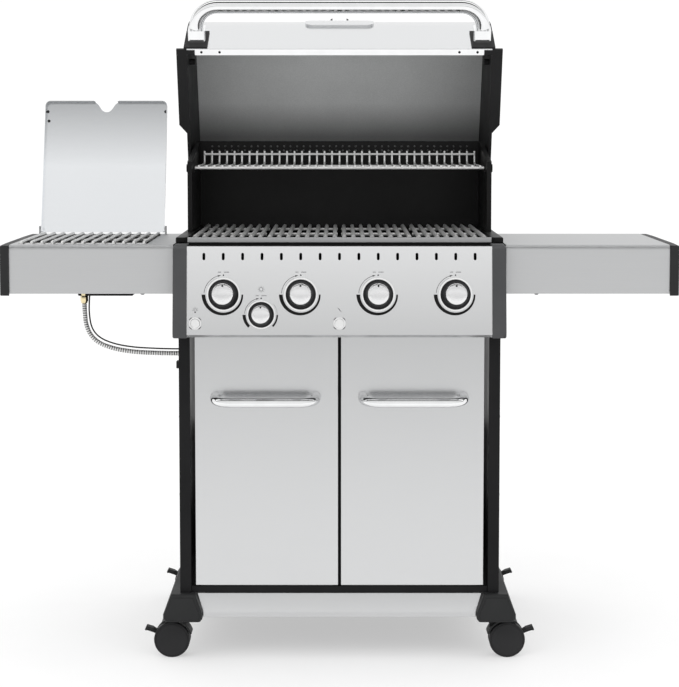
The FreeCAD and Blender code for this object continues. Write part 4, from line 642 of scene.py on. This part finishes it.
def control_panel_details():
    """Knobs, printed marks and the dashes round both buttons."""
    names = ["burner_knob_1", "burner_knob_2", "burner_knob_3", "burner_knob_4", "side_burner_knob"]
    marks = bmesh.new()
    for number, node in enumerate(names, 1):
        small = node == "side_burner_knob"
        scale = SIDE_KNOB_SCALE if small else 1.0
        joint = node + "_turn"
        control_knob(str(number), joint, node, scale)
        spot = Vector(joints[joint]["pos_m"]) / MM
        knob_marks(marks, on_panel(spot.x, spot.z), scale, small)
        if small:
            ring_symbol(marks, on_panel(spot.x, spot.z + BURNER_SYMBOL_RISE))
    for x in (LIGHT_X, SPARK_X):
        place = on_panel(x, BUTTON_Z)
        for middle in DASH_MIDDLES:
            start, end = middle - DASH_HALF, middle + DASH_HALF
            inner, outer = [arc(radius, start, end, 8) for radius in DASH_RING]
            printed(marks, inner, outer, place)
    lamp_symbol(marks, on_panel(LIGHT_X, BUTTON_Z + SYMBOL_RISE))
    spark_symbol(marks, on_panel(SPARK_X, BUTTON_Z + SYMBOL_RISE))
    piece("panel_marks", marks, "cart", "panel_cap_plastic", INK_AND_SHADE)


# ---------------------------------------------------------------- lid
LID_PIVOT = Vector(joints["lid_hinge"]["pos_m"])
LID_OPEN = 68.0
LID_START = (-428.0, -18.5)
LID_START_HEADING = 94.0
LID_HALF = 345.0
LINER_GAP = 0.6
LINER_INSETS = (3.2, 4.0)
# The closed lid's section from its front edge: a straight length in mm and 0, or a radius
# in mm and the degrees it turns through
BROW_TURN = 24.5
SHOULDER_RADIUS = 70
SHOULDER_TURN = 65.5
LID_RUNS = ((108.5, 0), (230, BROW_TURN), (SHOULDER_RADIUS, SHOULDER_TURN), (373.9, 0),
            (30, 86), (50, 0))
LIP_HALF = 326.0
LIP_FRONT = -427.0
LIP_REAR = -413.0
LIP_BOTTOM = -19.3
LIP_TOP = -18.6
LIP_SCREWS = (-312, -271, 271, 312)
LIP_SCREW_Y = -420
LIP_SCREW_RADIUS = 2.9
# The dial sits this share of the way round the lid's shoulder, and faces forward at this
# many degrees above level
DIAL_SHARE = 0.62
DIAL_LEAN = 60
DIAL_RADIUS = 31.0
DIAL_BOTTOM = 5.02
DIAL_TOP = 5.5
DIAL_RIM = 0.4
DIAL_INK_TOP = 5.6
DIAL_BAND_TOP = 5.62
DIAL_BAND = (27.6, 29.2)
DIAL_BAND_TURN = (90, -45)
DIAL_FIRST = 225
DIAL_TICKS = 31
DIAL_TICK_STEP = 9
DIAL_TICK_END = 27.2
# Where a tick begins and half its width, in mm, for every fifth tick and for the others
DIAL_LONG_TICK = (22.5, 0.45)
DIAL_SHORT_TICK = (24.8, 0.22)
DIAL_NUMBERS = 7
DIAL_NUMBER_STEP = 45
DIAL_NUMBER_RADIUS = 18.6
DIAL_NUMBER_SIZE = 4.2
NEEDLE_ANGLE = 228
NEEDLE_OUTLINE = [(-6, -0.9), (24, -0.25), (24, 0.25), (-6, 0.9)]
NEEDLE_HEIGHTS = (6.0, 6.3)
HUB_PROFILE = [(2.6, DIAL_TOP), (2.6, 6.6), (1.6, 7.0), (0, 7.1)]
GLASS_PROFILE = [(30.6, 6.8), (30.6, 7.4), (24, 8.6), (12, 9.4), (0, 9.7), (0, 9.3), (12, 9.0),
                 (24, 8.2), (30.2, 6.8)]
BEZEL_PROFILE = [(30.4, 6.6), (30.4, 8.4), (31.6, 9.0), (34.6, 8.6), (36.0, 7.2), (36.0, 5.0),
                 (34.8, 5.0)]


def lid_place():
    """The opened lid's place about its pivot: closed, its Y runs to the back and its Z up."""
    return Matrix.Translation(LID_PIVOT) @ Matrix.Rotation(math.radians(-LID_OPEN), 4, "X")


def arc_steps(turn):
    """How many steps an arc of the lid's section is drawn in."""
    return max(6, round(turn / 4))


def lid_profile(inset):
    """Points of the closed lid's section from the pivot, in mm, moved inwards."""
    heading = math.radians(LID_START_HEADING)
    y = LID_START[0] + inset * math.sin(heading)
    z = LID_START[1] - inset * math.cos(heading)
    points = [(y, z)]
    for size, turn in LID_RUNS:
        if turn == 0:
            y += size * math.cos(heading)
            z += size * math.sin(heading)
            points.append((y, z))
            continue
        radius = size - inset
        steps = arc_steps(turn)
        centre_y, centre_z = y + radius * math.sin(heading), z - radius * math.cos(heading)
        for _ in range(steps):
            heading -= math.radians(turn / steps)
            y = centre_y - radius * math.sin(heading)
            z = centre_z + radius * math.cos(heading)
            points.append((y, z))
    return points


def lid_liner():
    """The thin matt sheet that lines the lid."""
    place = lid_place()
    mesh = bmesh.new()
    half = LID_HALF - LINER_GAP
    rows = []
    for inset in LINER_INSETS:
        for y, z in lid_profile(inset):
            rows.append([mesh.verts.new(place @ (Vector((x, y, z)) * MM)) for x in (-half, half)])
    count = len(rows) // 2
    outer, inner = rows[:count], rows[count:]
    for sheet in (outer, inner):
        for a, b in zip(sheet, sheet[1:]):
            mesh.faces.new([a[0], a[1], b[1], b[0]])
    for end in (0, -1):
        mesh.faces.new([outer[end][0], outer[end][1], inner[end][1], inner[end][0]])
    for side in (0, 1):
        for i in range(count - 1):
            mesh.faces.new([outer[i][side], outer[i + 1][side], inner[i + 1][side], inner[i][side]])
    piece("lid_liner", mesh, "lid", "stainless", LINER)


def lid_lip():
    """The polished strip along the lid's bottom edge with its four dark screws."""
    place = lid_place()
    mesh = bmesh.new()
    flat = place @ Matrix.Translation(Vector((0, 0, LIP_BOTTOM)) * MM)
    outline = block(-LIP_HALF, LIP_FRONT, LIP_HALF, LIP_REAR)
    plate(mesh, outline, 0, LIP_TOP - LIP_BOTTOM, flat)
    piece("lid_lip", mesh, "lid", "stainless", CHROME)
    mesh = bmesh.new()
    for x in LIP_SCREWS:
        spot = Vector((x, LIP_SCREW_Y, LIP_BOTTOM)) * MM
        under = place @ Matrix.Translation(spot) @ Matrix.Rotation(math.pi, 4, "X")
        screw(mesh, under, LIP_SCREW_RADIUS)
    piece("lid_lip_screws", mesh, "lid", "black_steel", BLACK_STEEL, INK_AND_SHADE)


def dial_place():
    """The dial's place on the lid's shoulder, its Z axis along the way it faces."""
    lean = math.radians(DIAL_LEAN)
    shoulder = Vector((-math.cos(lean), math.sin(lean)))
    heading = math.radians(LID_START_HEADING - BROW_TURN)
    y, z = lid_profile(0)[1 + arc_steps(BROW_TURN)]
    turn = math.radians(SHOULDER_TURN) * DIAL_SHARE
    centre_y = y + SHOULDER_RADIUS * math.sin(heading)
    centre_z = z - SHOULDER_RADIUS * math.cos(heading)
    spot_y = centre_y - SHOULDER_RADIUS * math.sin(heading - turn)
    spot_z = centre_z + SHOULDER_RADIUS * math.cos(heading - turn)
    up = Vector((0, shoulder.y, -shoulder.x))
    spot = Vector((0, spot_y, spot_z)) * MM
    return lid_place() @ facing(spot, (0, shoulder.x, shoulder.y), up)


def thermometer_face():
    """The dial: pale face, ticks, a heat band, numbers, a needle and a domed glass."""
    place = dial_place()
    mesh = bmesh.new()
    disc(mesh, 0, 0, DIAL_RADIUS - DIAL_RIM, DIAL_BOTTOM, DIAL_TOP, place)
    piece("dial_face", mesh, "lid", "dial", DIAL_FACE)
    mesh = bmesh.new()
    for i in range(DIAL_TICKS):
        angle = DIAL_FIRST - DIAL_TICK_STEP * i
        way = place @ Matrix.Rotation(math.radians(angle), 4, "Z")
        inner, wide = DIAL_LONG_TICK if i % 5 == 0 else DIAL_SHORT_TICK
        plate(mesh, block(inner, -wide, DIAL_TICK_END, wide), DIAL_TOP, DIAL_INK_TOP, way)
    for i in range(DIAL_NUMBERS):
        angle = math.radians(DIAL_FIRST - DIAL_NUMBER_STEP * i)
        x, y = DIAL_NUMBER_RADIUS * math.cos(angle), DIAL_NUMBER_RADIUS * math.sin(angle)
        spot = place @ Matrix.Translation(Vector((x, y, DIAL_TOP)) * MM)
        number_mesh(mesh, str(50 + 50 * i), spot, DIAL_NUMBER_SIZE)
    piece("dial_marks", mesh, "lid", "dial", INK_AND_SHADE)
    mesh = bmesh.new()
    inner, outer = [arc(radius, *DIAL_BAND_TURN) for radius in DIAL_BAND]
    strip(mesh, inner, outer, DIAL_TOP, DIAL_BAND_TOP, place)
    piece("dial_heat_band", mesh, "lid", "dial", DIAL_RED)
    mesh = bmesh.new()
    needle = place @ Matrix.Rotation(math.radians(NEEDLE_ANGLE), 4, "Z")
    plate(mesh, NEEDLE_OUTLINE, *NEEDLE_HEIGHTS, needle)
    lathe(mesh, HUB_PROFILE, place, 24)
    piece("dial_needle", mesh, "lid", "dial", DIAL_RED)
    mesh = bmesh.new()
    lathe(mesh, GLASS_PROFILE, place, 64)
    piece("dial_glass", mesh, "lid", "dial", GLASS)
    mesh = bmesh.new()
    lathe(mesh, BEZEL_PROFILE, place, 72)
    piece("dial_bezel", mesh, "lid", "chrome", CHROME)


def number_mesh(mesh, text, place, size):
    """A raised number for a dial, centred on its place."""
    curve = bpy.data.curves.new("number", "FONT")
    curve.body = text
    curve.size = size * MM
    curve.extrude = 0.05 * MM
    curve.align_x = "CENTER"
    curve.align_y = "CENTER"
    carrier = bpy.data.objects.new("number", curve)
    solid = bpy.data.meshes.new_from_object(carrier)
    solid.transform(place)
    mesh.from_mesh(solid)
    bpy.data.objects.remove(carrier)
    bpy.data.meshes.remove(solid)


# ---------------------------------------------------------------- side burner
SIDE_BURNER_X = -550.0
SIDE_BURNER_Y = -106.86
SIDE_LID_OPEN = 106.7
# The crown as (radius, height over the burner head) in mm, and its burner ports
CROWN_PROFILE = [(36.4, -9), (36.4, -1.5), (35.6, 0.2), (33.5, 1.0), (20, 1.6), (8, 1.9),
                 (6.5, 1.2), (0, 1.0)]
CROWN_PORTS = 36
PORT_OUTLINE = (35.8, -1.1, 39.6, 1.1)
PORT_HEIGHTS = (-7.6, -4.4)
# The hose's collar, from its upper end down
COLLAR_NUT = [(6.0, -0.4), (8.0, -0.4), (8.6, -1.4), (8.6, -12.6), (8.0, -13.6), (5.9, -13.6)]
COLLAR_SLEEVE = [(5.9, -13.4), (6.9, -13.4), (6.9, -17.0), (5.9, -17.4)]
SUPPORT_OUTLINE = (-586, -103, -462, -56)
SUPPORT_HEIGHTS = (775, 797)
STOP_PROFILE = [(3.4, 0), (3.4, 1.2), (2.4, 1.8), (0, 1.9)]
STOP_PLACES = ((-139, -285), (-136, -262), (139, -285))
STOP_Z = 5.3


def side_burner_details():
    """The burner's ported crown and cap."""
    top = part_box("side_burner_head")[1].z
    place = facing(Vector((SIDE_BURNER_X * MM, SIDE_BURNER_Y * MM, top)), Z_AXIS)
    mesh = bmesh.new()
    lathe(mesh, CROWN_PROFILE, place, 72)
    for i in range(CROWN_PORTS):
        way = place @ Matrix.Rotation(math.radians(360 / CROWN_PORTS * i), 4, "Z")
        plate(mesh, block(*PORT_OUTLINE), *PORT_HEIGHTS, way)
    piece("side_burner_crown", mesh, "cart", "cast_black", CAST_BLACK)


def burner_underside():
    """The brass collar on the hose's upper end and the black support below the burner."""
    x, z = HOSE_POINTS[0]
    place = Matrix.Translation(Vector((x, CORD_Y, z)) * MM)
    mesh = bmesh.new()
    lathe(mesh, COLLAR_NUT, place, 6)
    lathe(mesh, COLLAR_SLEEVE, place, 32)
    piece("hose_collar", mesh, "cart", "brass", BRASS)
    mesh = bmesh.new()
    plate(mesh, block(*SUPPORT_OUTLINE), *SUPPORT_HEIGHTS, Matrix.Identity(4))
    support = piece("burner_support", mesh, "cart", "black_enamel", ENAMEL)
    soften(support, 3.0, 3)


def side_lid_details():
    """The rubber stops inside the side burner's lid."""
    pivot = Vector(joints["side_lid_hinge"]["pos_m"])
    opened = Matrix.Translation(pivot) @ Matrix.Rotation(math.radians(-SIDE_LID_OPEN), 4, "X")
    mesh = bmesh.new()
    for x, y in STOP_PLACES:
        spot = Matrix.Translation(Vector((x, y, STOP_Z)) * MM)
        place = opened @ spot @ Matrix.Rotation(math.pi, 4, "X")
        lathe(mesh, STOP_PROFILE, place, 20)
    piece("side_lid_stops", mesh, "side_lid", "wire_rubber", WIRE_RUBBER)


# ---------------------------------------------------------------- cart
# One wheel's half section as (radius, distance from the caster's middle) in mm
WHEEL_PROFILE = [(5, 6.8), (35.5, 6.8), (38.0, 7.4), (39.0, 9.2), (39.0, 16.8), (38.5, 18.4),
                 (37.2, 19.3), (35.6, 19.6), (35.1, 18.9), (34.3, 18.9), (33.8, 19.7), (26, 20.0),
                 (0, 20.2)]
AXLE_PROFILE = [(4, -17), (4, 17)]
# The right foot's raised panel as (x, height) in mm
FOOT_OUTLINE = [(306, 95), (369, 95), (374, 100), (373.5, 107), (358.5, 143), (315.5, 143),
                (302.5, 108), (302.5, 98)]
FOOT_PANEL_HEIGHTS = (-0.5, 1.8)
# Fasteners of the cart, placed in metres, with their radii and profiles in mm
SIDE_SCREW_RADIUS = 4.5
SIDE_SCREW_HEIGHTS = (0.19, 0.36, 0.53, 0.70)
SIDE_SCREW_MARGIN = 0.022
BACK_SCREW_RADIUS = 4.0
BACK_SCREW_HEIGHTS = (0.17, 0.30, 0.42)
BACK_SCREW_X = 0.33
STUB_PROFILE = [(4.6, -0.5), (4.6, 1.6), (3.0, 2.8), (0, 3.2)]
STUB_MARGIN = 0.012
STUB_X = 0.420
BUSH_PROFILE = [(5.4, 0), (5.4, 3.2), (4.6, 3.6), (0, 3.6)]
BUSH_HEIGHTS = (0.1525, 0.7122)


def caster_wheels(corner):
    """Both smooth wheels of a caster, each with a shallow groove inside its rim."""
    joint = joints["caster_" + corner + "_roll"]
    centre = Vector(joint["pos_m"])
    mesh = bmesh.new()
    for way in (-1, 1):
        place = Matrix.Translation(centre) @ Matrix.Rotation(math.radians(-90 * way), 4, "X")
        lathe(mesh, WHEEL_PROFILE, place, 72)
    lathe(mesh, AXLE_PROFILE, place, 20)
    wheels = piece("wheels_" + corner, mesh, joint["child"], "wheel", WHEEL)
    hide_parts("caster_wheels_" + corner)


def foot_face(name, side):
    """The raised bevelled panels on both ends of a foot rail."""
    low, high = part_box("foot_rail_" + name)
    mesh = bmesh.new()
    for y in (low.y, high.y):
        ahead = -1 if y < 0 else 1
        place = facing(Vector((0, y, 0)), (0, ahead, 0), Z_AXIS)
        outline = [(-ahead * side * x, z) for x, z in FOOT_OUTLINE]
        plate(mesh, outline, *FOOT_PANEL_HEIGHTS, place)
    panels = piece("foot_faces_" + name, mesh, "cart", "charcoal_plastic", CHARCOAL)
    soften(panels, 1.6, 3)


def cart_fasteners():
    """Screw heads on the sides and the back, stubs under the shelves and the doors' bushes."""
    mesh = bmesh.new()
    side_low, side_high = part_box("cabinet_side_right")
    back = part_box("cabinet_back")[1].y
    for side in (-1, 1):
        for y in (side_low.y + SIDE_SCREW_MARGIN, side_high.y - SIDE_SCREW_MARGIN):
            for z in SIDE_SCREW_HEIGHTS:
                place = facing((side * side_high.x, y, z), (side, 0, 0))
                screw(mesh, place, SIDE_SCREW_RADIUS)
        for z in BACK_SCREW_HEIGHTS:
            screw(mesh, facing((side * BACK_SCREW_X, back, z), Y_AXIS), BACK_SCREW_RADIUS)
    piece("cart_screws", mesh, "cart", "black_steel", BLACK_STEEL, INK_AND_SHADE)
    mesh = bmesh.new()
    shelf_low, shelf_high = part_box("side_shelf_right")
    for side in (-1, 1):
        for y in (shelf_low.y + STUB_MARGIN, shelf_high.y - STUB_MARGIN):
            lathe(mesh, STUB_PROFILE, facing((side * STUB_X, y, shelf_low.z), -Z_AXIS), 24)
    piece("shelf_stubs", mesh, "cart", "black_steel", BLACK_STEEL)
    mesh = bmesh.new()
    for hinge in ("left_door_hinge", "right_door_hinge"):
        pin = Vector(joints[hinge]["pos_m"])
        for z in BUSH_HEIGHTS:
            lathe(mesh, BUSH_PROFILE, facing((pin.x, pin.y, z), Z_AXIS), 24)
    piece("hinge_bushes", mesh, "cart", "galvanised", GALVANISED)


def softened_nodes():
    """Rounds the edges of the CAD pieces that are folded, cast or moulded."""
    widths = {"panel_end_caps": 1.2, "side_shelf_left": 0.6, "side_shelf_right": 0.6,
              "base_fascia": 0.8, "foot_rail_left": 1.4, "foot_rail_right": 1.4,
              "cabinet_side_left": 0.8, "cabinet_side_right": 0.8, "lid_end_caps": 1.6,
              "shelf_end_caps": 0.8}
    for name, width in widths.items():
        soften(nodes[name], width)
    for name, node in nodes.items():
        if name.startswith(("caster_lever", "caster_body")):
            soften(node, 0.8)


# ---------------------------------------------------------------- studio
# Brightness of the reflected room by degrees about the X axis: the front horizon is 0,
# straight up 90 and the back horizon 180
ROOM_LEVELS = [(0, 0.66), (5, 0.70), (10, 1.04), (18, 1.08), (27, 0.75), (33, 0.72), (38, 1.12),
               (48, 1.12), (50, 0.02), (70, 0.02), (72, 1.2), (94, 1.25), (96, 0.04), (107, 0.04),
               (110, 1.15), (180, 0.95)]
SEEN_SKY = 1.05
DIFFUSE_SKY = 0.95
FLOOR_GLOW = 0.47


def studio_floor():
    """A wide pale floor that glows a little, so that only soft shadows show on it."""
    bpy.ops.mesh.primitive_plane_add(size=60, location=(0, 0, 0))
    floor = bpy.context.object
    floor.name = "studio_floor"
    material, tree, shader, coordinates = new_material("floor_white")
    colour = tint(tree, noise(tree, coordinates, 2.0), (0.45, 0.45, 0.45), (0.47, 0.47, 0.47))
    tree.links.new(colour, shader.inputs["Base Color"])
    shader.inputs["Emission Color"].default_value = (1, 1, 1, 1)
    shader.inputs["Emission Strength"].default_value = FLOOR_GLOW
    shader.inputs["Roughness"].default_value = 0.9
    shader.inputs["Specular IOR Level"].default_value = 0.1
    floor.data.materials.append(material)


def studio_world():
    """A white room; reflections see it with darker gaps."""
    world = bpy.data.worlds.new("studio_world")
    bpy.context.scene.world = world
    world.use_nodes = True
    tree = world.node_tree
    tree.nodes.clear()
    output = tree.nodes.new("ShaderNodeOutputWorld")
    seen = backdrop(tree, SEEN_SKY)
    diffuse = backdrop(tree, DIFFUSE_SKY)
    room = backdrop(tree, 1.0)
    coordinates = tree.nodes.new("ShaderNodeTexCoord")
    split = tree.nodes.new("ShaderNodeSeparateXYZ")
    tree.links.new(coordinates.outputs["Generated"], split.inputs["Vector"])
    ramp = tree.nodes.new("ShaderNodeValToRGB")
    while len(ramp.color_ramp.elements) < len(ROOM_LEVELS):
        ramp.color_ramp.elements.new(0.5)
    for element, (elevation, level) in zip(ramp.color_ramp.elements, ROOM_LEVELS):
        element.position = elevation / 180
        element.color = (level, level, level, 1)
    ahead = tree.nodes.new("ShaderNodeMath")
    ahead.operation = "MULTIPLY"
    ahead.inputs[1].default_value = -1.0
    tree.links.new(split.outputs["Y"], ahead.inputs[0])
    turn = tree.nodes.new("ShaderNodeMath")
    turn.operation = "ARCTAN2"
    tree.links.new(split.outputs["Z"], turn.inputs[0])
    tree.links.new(ahead.outputs[0], turn.inputs[1])
    tree.links.new(spread(tree, turn.outputs[0], 0.0, 1.0, 0.0, math.pi), ramp.inputs["Fac"])
    tree.links.new(ramp.outputs["Color"], room.inputs["Color"])
    rays = tree.nodes.new("ShaderNodeLightPath")
    surface = room
    for ray, sky in (("Is Diffuse Ray", diffuse), ("Is Camera Ray", seen)):
        mix = tree.nodes.new("ShaderNodeMixShader")
        tree.links.new(rays.outputs[ray], mix.inputs["Fac"])
        tree.links.new(surface.outputs[0], mix.inputs[1])
        tree.links.new(sky.outputs[0], mix.inputs[2])
        surface = mix
    tree.links.new(surface.outputs[0], output.inputs["Surface"])


def backdrop(tree, strength):
    """A plain white sky."""
    sky = tree.nodes.new("ShaderNodeBackground")
    sky.inputs["Color"].default_value = (1, 1, 1, 1)
    sky.inputs["Strength"].default_value = strength
    return sky


def soft_light(name, place, target, size, power):
    """A large rectangular light aimed at a point."""
    data = bpy.data.lights.new(name, "AREA")
    data.shape = "RECTANGLE"
    data.size, data.size_y = size
    data.energy = power
    light = bpy.data.objects.new(name, data)
    bpy.context.scene.collection.objects.link(light)
    light.location = place
    light.rotation_euler = (Vector(target) - Vector(place)).to_track_quat("-Z", "Y").to_euler()
    light.visible_glossy = False


def overhead():
    """A very soft sun straight above, which evens out the floor."""
    data = bpy.data.lights.new("overhead", "SUN")
    data.energy = 1.1
    data.angle = math.radians(120)
    light = bpy.data.objects.new("overhead", data)
    bpy.context.scene.collection.objects.link(light)
    light.location = (0, 0, 4)
    light.visible_glossy = False


def camera():
    """The viewing position of the picture: low shift, slight downward tilt, long lens."""
    data = bpy.data.cameras.new("camera")
    data.lens = 93.545
    data.sensor_width = 36.0
    data.sensor_fit = "AUTO"
    data.shift_y = -0.12
    data.clip_end = 100.0
    view = bpy.data.objects.new("camera", data)
    bpy.context.scene.collection.objects.link(view)
    view.location = (0, -4.0808, 1.1621)
    view.rotation_euler = (math.radians(90) - 0.07747, 0, 0)
    bpy.context.scene.camera = view


bpy.context.scene.view_settings.view_transform = "Standard"
camera()
cords()
control_panel_details()
lid_liner()
lid_lip()
thermometer_face()
side_burner_details()
side_lid_details()
burner_underside()
for name in ("front_left", "front_right", "rear_left", "rear_right"):
    caster_wheels(name)
for name, side in (("left", -1), ("right", 1)):
    foot_face(name, side)
cart_fasteners()
softened_nodes()
studio_floor()
studio_world()
overhead()
soft_light("key", (-1.6, -3.2, 3.2), (0, 0, 0.8), (2.4, 1.6), 22)
soft_light("fill", (2.2, -3.0, 1.6), (0, 0, 0.7), (1.6, 2.2), 10)
